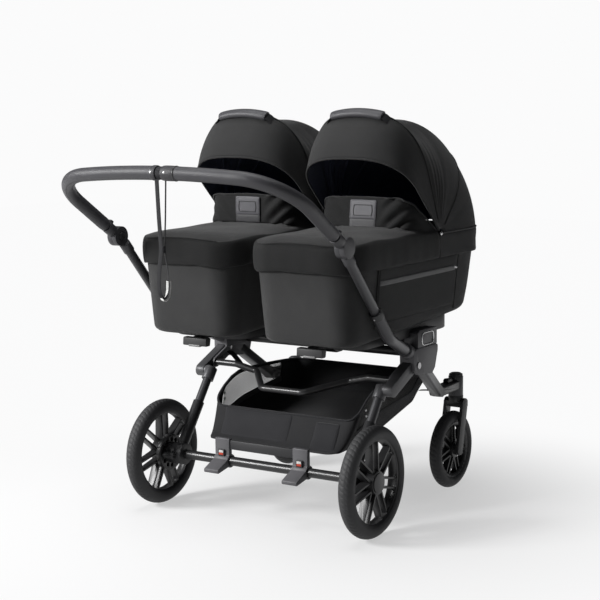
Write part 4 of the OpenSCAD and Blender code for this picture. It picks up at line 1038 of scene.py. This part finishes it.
cot_cloth = woven("cot_cloth", (0.024, 0.024, 0.0242), (0.039, 0.039, 0.0393), 0.74, 0.0009, 0.2)
pocket_cloth = woven("pocket_cloth", (0.009, 0.009, 0.0092), (0.015, 0.015, 0.0152), 0.74, 0.0009, 0.15)
cot_lining = woven("cot_lining", (0.03, 0.031, 0.034), (0.045, 0.046, 0.05), 0.85, 0.0009, 0.2)
zip_grey = woven("zip_tape", (0.065, 0.065, 0.067), (0.09, 0.09, 0.092), 0.4, 0.0007, 0.05)
base_plastic = grained("base_plastic", (0.02, 0.02, 0.021), (0.032, 0.032, 0.033), 0.55)
lever_grey = grained("lever_grey", (0.2, 0.2, 0.2), (0.27, 0.27, 0.27), 0.4)
mattress_knit = woven("mattress_knit", (0.6, 0.6, 0.58), (0.72, 0.72, 0.7), 0.9, 0.0016, 0.3)
for side, sign in SIDES:
    cot = "cot_" + side
    at = cot_place(sign)
    levels = [(0.0, 34, 0.2), (0.0, 20, 0), (0.004, 12.5, 0), (0.015, 6.5, 0), (0.034, 2.4, 0)]
    levels += [(t, 0, 0) for t in (0.065, *np.linspace(0.1, 0.96, 18))]
    levels += [(0.99, 0.3, 0), (1.0, 2.0, 0.8)]
    outer = [shell_level(t, inset, rise) for t, inset, rise in levels]
    for p in (p for ring in outer for p in ring):
        p.x += math.copysign(1, p.x) * ripple(p, 0.7, sign)
    inner_levels = [(1.0, 5.2, 0.8), (0.99, 6.8, 0)] + [(t, 7, 0) for t in np.linspace(0.9, 0.1, 9)]
    inner_levels += [(0.05, 9, 0), (0.03, 14, 1)]
    inner = [shell_level(t, inset, rise) for t, inset, rise in inner_levels]
    rings = outer + inner
    n = len(rings[0])
    verts = [at(p) for ring in rings for p in ring]
    uvs = [(k % n * 0.0125, v.z) for k, v in enumerate(verts)]
    shell = make("cot_shell_cloth_" + side, verts, capped_faces(len(rings), n), cot_cloth, uvs)
    shell.data.materials.append(cot_lining)
    index = np.zeros(len(shell.data.polygons), np.int32)
    index[(len(outer) - 1) * n:(len(rings) - 1) * n] = 1
    index[-1] = 1
    shell.data.polygons.foreach_set("material_index", index)
    facing_out(shell)
    fit(shell, cot, "cot_fabric", "cot_shell_" + side)
    soften("cot_base_" + side, base_plastic, 0.002, cot, "dark_plastic")
    middle = sign * COT_X
    block("cot_lever_" + side, (middle - 19, -49.5, 457), (middle + 19, -30, 463), lever_grey, 2.4, cot,
          "dark_plastic")
    low = [(0.03, 18, 4), (0.03, 15.5, 9), (0.03, 15, 18), (0.03, 15, 30), (0.03, 17, 39), (0.03, 24, 45)]
    crown = [(0.03, 36, 48), (0.03, 60, 50), (0.03, 90, 50.5)]
    pad = [shell_level(t, inset, rise, 96) for t, inset, rise in low + crown]
    n = len(pad[0])
    verts = [at(p + Vector((0, 0, 1)) * ripple(p, 0.8, 4 + sign)) for ring in pad for p in ring]
    mattress = make("mattress_pad_" + side, verts, capped_faces(len(pad), n), mattress_knit,
                    [(v.x, v.y + v.z) for v in verts])
    facing_out(mattress)
    fit(mattress, cot, "mattress_cloth", "mattress_" + side)

    def on_side(y, z, lift):
        """A point that stands proud of the shell's outer side."""
        return at(Vector((sign * (cot_side(y, z) + lift), y, z)))

    def side_patch(name, y_span, z_span, proud, finish, steps):
        """Cloth that lies on the outer side of the shell."""
        verts = patch_points(steps, lambda u, v: on_side(
            mix(*y_span, u), mix(*z_span, v), proud * swell(u, v, 16, 10) + 0.9))
        uvs = patch_points(steps, lambda u, v: (mix(*y_span, u) / 1000, mix(*z_span, v) / 1000))
        faces = grid_faces(steps[1] + 1, steps[0] + 1)
        if sign < 0:
            faces = [tuple(reversed(f)) for f in faces]
        return cloth(make(name, verts, faces, finish, uvs), 0.0012, cot, 0.0)

    side_patch("cot_pocket_" + side, (53, 483), (540, 686), 2.2, pocket_cloth, (44, 16))
    side_patch("cot_zip_" + side, (56, 478), (637, 655), 3.6, zip_grey, (40, 6))
    for k, y in enumerate((51, 485)):
        line = [on_side(y, z, 1.4) for z in np.linspace(530, 690, 24)]
        fit(tube(f"cot_seam_{k}_{side}", line, 0.0017, cot_cloth, 8, up=(1, 0, 0)), cot, "cot_fabric")
    slider = cot_side(470, 648) + 4.2
    puller = [at(Vector((sign * slider, y, z))) for y, z in ((462, 648.5), (468, 648), (478, 645))]
    pull = tube("cot_zip_puller_" + side, puller, [0.0026, 0.0032, 0.0026], pin_steel, 8, flat=0.45,
                up=(1, 0, 0))
    fit(pull, cot, "bright_metal")


# Apron: a buttoned-on cover over the foot half, with a deep skirt and a wind flap that stands up
# at the mouth. A leather tab is sewn on the middle of the flap.
APRON_HALF, APRON_FOOT, APRON_CORNER = 164.3, -92.3, 85
CORNER_X, CORNER_Y = APRON_HALF - APRON_CORNER, APRON_FOOT + APRON_CORNER
MOUTH_Y, FLAP_Y, COVER_Z = 352, 225, 754
FLAP_REACH = 160.3
FLAP_SIDE = (APRON_FOOT, FLAP_Y, 285, 320, MOUTH_Y)
FLAP_MIDDLE = (18, FLAP_Y, 235, 241, 247)
FLAP_HEIGHT = (14, 14, 16, 51, 93)
TAB_HALF, TAB_STEPS = 41, (12, 8)
PLEATS = (2.0, 7.0)


def apron_half(count):
    """Points of the right-hand edge from the mouth to the middle of the foot, and how far along."""
    line = [(APRON_HALF, y) for y in np.linspace(MOUTH_Y, CORNER_Y, 60)]
    line += arc((CORNER_X, CORNER_Y), APRON_CORNER, APRON_CORNER, -4, -90, 24)
    line += [(x, APRON_FOOT) for x in np.linspace(72, 0, 12)]
    places, marks = spaced(line, count)
    return [(x, y, m) for (x, y), m in zip(places, marks)]


hem_cloth = woven("apron_cloth", (0.015, 0.015, 0.0152), (0.025, 0.025, 0.0253), 0.74, 0.0009, 0.18)
# A darker copy of the apron cloth for the skirt and the standing flap: painted shade, as the skirt faces
# sideways and the flap lies under the hood.
apron_painted_shade_cloth = woven("apron_painted_shade_cloth", (0.006, 0.006, 0.0062), (0.0108, 0.0108, 0.011), 0.74, 0.0009, 0.1)
tab_dark = hide("tab_dark_leather", (0.018, 0.018, 0.021), (0.028, 0.027, 0.031), 0.5)
tab_hide = hide("tab_leather", (0.075, 0.074, 0.084), (0.1, 0.098, 0.11), 0.45)
piping_grey = woven("piping_grey", (0.05, 0.05, 0.052), (0.07, 0.07, 0.072), 0.6, 0.0007, 0.1)


def corner_droop(y, x):
    """How far the cover sinks at its two round foot corners, from 0 to 1."""
    return math.exp(-(((y + 72) / 38) ** 2 + ((abs(x) - 125) / 48) ** 2))


def apron_top(x_edge, y_edge, v, lean, pleats):
    """A point of the cover: v runs from its edge to its middle; lean tips the flap to the foot."""
    ridge_y = np.interp(y_edge, FLAP_SIDE, FLAP_MIDDLE)
    ridge_y -= np.interp(y_edge, (FLAP_Y, MOUTH_Y), (0, lean))
    high = np.interp(y_edge, FLAP_SIDE, FLAP_HEIGHT)
    flap = max(0.0, min(1.0, (y_edge - FLAP_Y) / 60))
    bend = 1 - (1 - v) ** 10
    y = mix(y_edge, ridge_y, mix(v, bend, flap))
    z = COVER_Z + high * mix(1 - (1 - v) ** 4, bend, flap)
    x = (x_edge - 9 * min(1.0, x_edge / 20)) * (1 - v)
    z -= 7 * corner_droop(y_edge, x_edge) * (1 - v) ** 5
    slant = z - COVER_Z - 0.8 * (x - 75)
    pleat = flap * min(1.0, max(0.0, (x - 50) / 30)) * min(1.0, (160 - x) / 24)
    y -= pleats * pleat * math.sin(slant * 0.15 + 0.7 * math.sin(slant * 0.06))
    gather = (1 - flap) * math.exp(-((y_edge - 232) / 26) ** 2) * math.sin(math.pi * min(1.0, v * 1.6))
    z += gather * (2.6 * math.sin(x * 0.13) + 1.6 * math.sin(x * 0.31 + 1))
    sink = (1 - flap) * 2.4 * math.sin(math.pi * min(1.0, 1.3 * v)) * math.sin(y * 0.021 + 0.8)
    return Vector((x, y, z - sink + 1.2 * math.sin(x * 0.045 + 1.3) * math.sin(y * 0.037)))


for side, sign in SIDES:
    cot = "cot_" + side
    at = cot_place(sign)
    lean = 4 if sign > 0 else 22
    edge = apron_half(92)
    edge = edge + [(-x, y, 2 * edge[-1][2] - m) for x, y, m in reversed(edge[:-1])]
    skirt = [(-3.4, 684), (-2.2, 683), (-0.8, 685), (0.4, 691), (1.5, 701), (2.1, 713),
             (2.0, 725), (1.2, 735), (-0.2, 742.5), (-2, 748), (-4.4, 751.5)]
    rings = []
    for out, z in skirt:
        ring = []
        for x, y, m in edge:
            away = Vector((x, 0, 0))
            if y <= -7:
                away = Vector((x - math.copysign(min(abs(x), CORNER_X), x), y - CORNER_Y, 0))
            away = away.normalized() if away.length > 1e-6 else Vector((0, -1, 0))
            wave = 0.9 * math.sin(m * 0.041 + 1.1 * sign) + 0.5 * math.sin(m * 0.113 + sign)
            wave *= (752 - z) / 68
            ring.append(Vector((x, y, z + 1.4 * wave - 4 * corner_droop(y, x))) + away * (out + wave))
        rings.append(ring)
    for v in [0.0, 0.02, 0.05] + list(np.linspace(0.09, 1, 24)):
        ring = []
        for x, y, m in edge:
            p = apron_top(abs(x), y, v, lean, PLEATS[x > 0])
            ring.append(Vector((math.copysign(p.x, x), p.y, p.z)))
        rings.append(ring)
    n = len(edge)
    verts = [at(p) for ring in rings for p in ring]
    uvs = [(m / 1000, j * 0.012) for j in range(len(rings)) for _, _, m in edge]
    faces = grid_faces(len(rings), n)
    apron = make("apron_cover_" + side, verts, faces, hem_cloth, uvs)
    apron.data.materials.append(apron_painted_shade_cloth)
    # The skirt and the standing flap take the darker copy, which is painted shade; the top keeps the plain
    # apron cloth.
    painted_shade_faces = [len(skirt) > f[0] // n or edge[f[0] % n][1] > 250 for f in faces]
    apron.data.polygons.foreach_set("material_index", np.array(painted_shade_faces, np.int32))
    facing_out(apron, 1e-5)
    cloth(apron, 0.002, cot, -1.0)
    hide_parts("apron_" + side)

    def flap_front(x, up):
        """A point on the front of the wind flap: x across, up from its foot (0) to its rim (1)."""
        p = apron_top(APRON_HALF, mix(262, MOUTH_Y, up), 1 - abs(x) / FLAP_REACH, lean, 0.0)
        return Vector((x, p.y - 2.2, p.z + 0.4))

    for part, low, high, proud, finish in (
        ("lower", 0.0, 0.5, 0, tab_dark),
        ("upper", 0.47, 0.95, 0.8, tab_hide),
    ):
        verts = patch_points(TAB_STEPS, lambda u, v: at(
            flap_front(mix(-TAB_HALF, TAB_HALF, u), mix(low, high, v))
            - Vector((0, 1.2 * swell(u, v, 10, 10) + proud, 0))))
        faces = grid_faces(TAB_STEPS[1] + 1, TAB_STEPS[0] + 1)
        tab = make(f"flap_tab_{part}_{side}", verts, faces, finish, [(p.x, p.z) for p in verts])
        cloth(tab, 0.0014, cot, 0.0, 1)
    marks = ((-27, 0.58), (27, 0.58), (29, 0.7), (27, 0.83), (-27, 0.83), (-29, 0.7), (-27, 0.58))
    frame_line = [at(flap_front(x, up) + Vector((0, -2.9, 0))) for x, up in marks]
    badge = tube("flap_tab_frame_" + side, even_path(frame_line, 80)[:-1], 0.0011, piping_grey, 8,
                 up=(0, 1, 0), closed=True)
    fit(badge, cot, "leather")
    marks = ((-37, 0.5), (37, 0.5), (37, 0.92), (-37, 0.92), (-37, 0.5))
    frame_line = [at(flap_front(x, up) + Vector((0, -2.2, 0))) for x, up in marks]
    stitch_row("flap_tab_stitches_" + side, even_path(frame_line, 60), 0.003, (0.0012, 0.0004), thread,
               cot, "leather")
    rim = []
    for x in np.linspace(-160, 160, 70):
        p = apron_top(APRON_HALF, MOUTH_Y, 1 - abs(x) / FLAP_REACH, lean, PLEATS[x > 0])
        rim.append(at(Vector((x, p.y, p.z))))
    binding = tube("flap_binding_" + side, rim, 0.0026, hem_cloth, 8, up=(0, 1, 0))
    fit(binding, cot, "cot_fabric")


# Hoods: a band buttoned round the head end carries one curved cloth canopy over hidden hoops, with
# a visor at the front and a navy lining. The real hood folds back about two rivets at the sides; here its
# canopy, lining and seams are not fixed to the hood's body.
def hood_reach(a):
    """How far the hood's ridge stands from its rivets at each angle of its fan."""
    marks = (0, 25, 50, 68, 85, 94, 100, 106, 110, 112.5, 114, 116.5, 122, 129, 136)
    reach = (335, 329, 318, 310, 302, 303, 306, 316, 328, 341, 352, 353, 342, 323, 297)
    return float(np.interp(a, marks, reach))


HOOD_Y, HOOD_Z = 365, 748
BOW_ANGLE, VISOR_ANGLE = 114, 136
RIVET_SPAN = 0.14
HOOD_FOLDS = ((9, 108, 4), (-7, 101, 3.5), (8, 93, 4), (-5, 86, 4), (3, 77, 5))


def hood_point(a, share, inset=0.0):
    """A point of the canopy: a is its angle in the fan, share runs over it from side to side."""
    to_bow = max(0.0, min(1.0, (a - 85) / (BOW_ANGLE - 85)))
    half, shoulder = APRON_HALF - inset, mix(163, 100, min(1.0, a / 40) * (1 - to_bow))
    top, square = hood_reach(a) - inset, mix(1, 0.75, to_bow)
    if share < RIVET_SPAN or share > 1 - RIVET_SPAN:
        edge = min(share, 1 - share) / RIVET_SPAN
        x, r = math.copysign(half, 0.5 - share), mix(12, shoulder, edge)
    else:
        turn = math.pi * (share - RIVET_SPAN) / (1 - 2 * RIVET_SPAN)
        x = math.copysign(half * abs(math.cos(turn)) ** square, math.cos(turn))
        r = shoulder + (top - shoulder) * max(0.0, math.sin(turn)) ** square
    flank = max(0.0, abs(2 * share - 1) - 0.25) / 0.75
    folds = sum(size * math.exp(-((a - middle) / wide) ** 2) for size, middle, wide in HOOD_FOLDS)
    fold = folds * flank * (1 - flank ** 6)
    fold += 1.6 * math.sin(math.radians(a * 7)) * flank * (1 - flank ** 8)
    sag = 3.0 * math.sin(math.radians(a) * 6) * (1 - flank) if a < 112 else 0.0
    x += math.copysign(fold, x) * min(1.0, r / 120)
    r += sag * 0.6
    turn = math.radians(a)
    return Vector((x, HOOD_Y + r * math.cos(turn), HOOD_Z + r * math.sin(turn)))


hood_cloth = woven("hood_cloth", (0.0115, 0.0115, 0.0117), (0.019, 0.019, 0.0193), 0.74, 0.0009, 0.16)
hood_navy = woven("hood_lining", (0.055, 0.062, 0.1), (0.085, 0.094, 0.14), 0.8, 0.0009, 0.15)
for side, sign in SIDES:
    cot, hood = "cot_" + side, "hood_" + side
    at = cot_place(sign)
    shares = np.r_[np.linspace(0, RIVET_SPAN, 7)[:-1], np.linspace(RIVET_SPAN, 1 - RIVET_SPAN, 57),
                   np.linspace(1 - RIVET_SPAN, 1, 7)[1:]]
    angles = np.r_[np.linspace(1, 110, 76), np.linspace(111, VISOR_ANGLE, 28)]
    for part, inset, finish, thick in (
        ("cover", 0.0, hood_cloth, 0.0014),
        ("lining", 3.2, hood_navy, 0.001),
    ):
        verts = [at(hood_point(a, s, inset)) for a in angles for s in shares]
        uvs = [(s * 0.75, math.radians(a) * 0.33) for a in angles for s in shares]
        piece = make(f"hood_{part}_{side}", verts, grid_faces(len(angles), len(shares)), finish, uvs)
        cloth(piece, thick, "", -1.0)
        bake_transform(piece)
        if part == "cover":
            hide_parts("hood_back_" + side, "hood_canopy_" + side, "hood_visor_" + side)
    seams = []
    for a, radius in ((46, 0.0016), (BOW_ANGLE, 0.0022)):
        line = [at(hood_point(a, s, -0.6)) for s in np.linspace(0.03, 0.97, 90)]
        seams.append(tube(f"hood_seam_{a}_{side}", line, radius, hood_cloth, 8, up=(0, 1, 0)))
    line = [at(hood_point(VISOR_ANGLE, s, 1.4)) for s in np.linspace(0.0, 1.0, 110)]
    seams.append(tube(f"hood_visor_binding_{side}", line, 0.0027, hood_cloth, 8, up=(0, 1, 0)))
    for a in (58, 82, 103):
        line = [at(hood_point(a, s, 7.0)) for s in np.linspace(0.06, 0.94, 80)]
        seams.append(tube(f"hood_hoop_sleeve_{a}_{side}", line, 0.0042, hood_navy, 10, up=(0, 1, 0)))
    for seam in seams:
        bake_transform(seam)
    band_plan = cot_plan(165.0, -94, 85, 703.0, 175, 400)
    band_plan = [Vector((x, y, 0)) for x, y in band_plan if y > 355]
    band = []
    for out, z in ((-1.6, 684), (-0.4, 683.2), (0.6, 686), (0.4, 696), (-0.2, 714), (0.4, 730), (0.4, 740),
                   (-0.6, 746), (-2.4, 747.6)):
        ring = []
        for p in band_plan:
            away = Vector((p.x, max(0.0, p.y - 528) * 0.9, 0)).normalized()
            ring.append(p + away * (out + 0.6 * math.sin(p.y * 0.06 + z * 0.08)) + Vector((0, 0, z)))
        band.append(ring)
    n = len(band_plan)
    verts = [at(p) for ring in band for p in ring]
    strip = make("hood_band_" + side, verts, grid_faces(len(band), n), hem_cloth,
                 [(i * 0.003, ring * 0.007) for ring in range(len(band)) for i in range(n)])
    facing_out(strip)
    cloth(strip, 0.002, cot, -1.0)
    line = [at(p + Vector((0, 0, HOOD_Z))) for p in band_plan]
    fit(tube("hood_piping_" + side, line, 0.0021, piping_grey, 8), cot, "cot_fabric")
    rivets = [(at(Vector((s * 166.2, HOOD_Y, HOOD_Z))), (s, 0, 0)) for s in (-1, 1)]
    dome_studs("hood_rivets_" + side, rivets, 0.0055, 0.0018, bright, cot, "bright_metal")


# Carry handles: a padded leather bar on the front hoop of each hood, held by a short loop of
# webbing at either end, for lifting the carrycot.
HANDLE_ANGLE = math.radians(116)
HANDLE_HALF = 76


def hood_handle_point(x, lift):
    """A point above the hood's front hoop: x across, lift out from the rivets' line."""
    return Vector((x, HOOD_Y + lift * math.cos(HANDLE_ANGLE), HOOD_Z + lift * math.sin(HANDLE_ANGLE)))


for side, sign in SIDES:
    at = cot_place(sign)
    spots = np.linspace(-HANDLE_HALF, HANDLE_HALF, 40)
    bar = [at(hood_handle_point(x, 359 - 9.5 * (x / HANDLE_HALF) ** 2)) for x in spots]
    across = Vector((0, math.cos(HANDLE_ANGLE), math.sin(HANDLE_ANGLE)))
    radii = [0.0148, 0.0156] + [0.0158] * 36 + [0.0156, 0.0148]
    leather = tube("carry_handle_" + side, bar, radii, grip_hide, 28, flat=0.72, up=across)
    fit(leather, "hood_" + side, "leather", "hood_handle_" + side)
    for end, way in (("left", -1), ("right", 1)):
        marks = ((66, 352), (76, 349.5), (82, 346), (87, 340), (92, 333), (96, 327))
        line = [at(hood_handle_point(way * x, r)) for x, r in marks]
        loop = tube(f"carry_loop_{end}_{side}", even_path(line, 16), 0.0145, strap_weave, 14,
                    flat=0.14, up=across)
        fit(loop, "hood_" + side, "webbing")
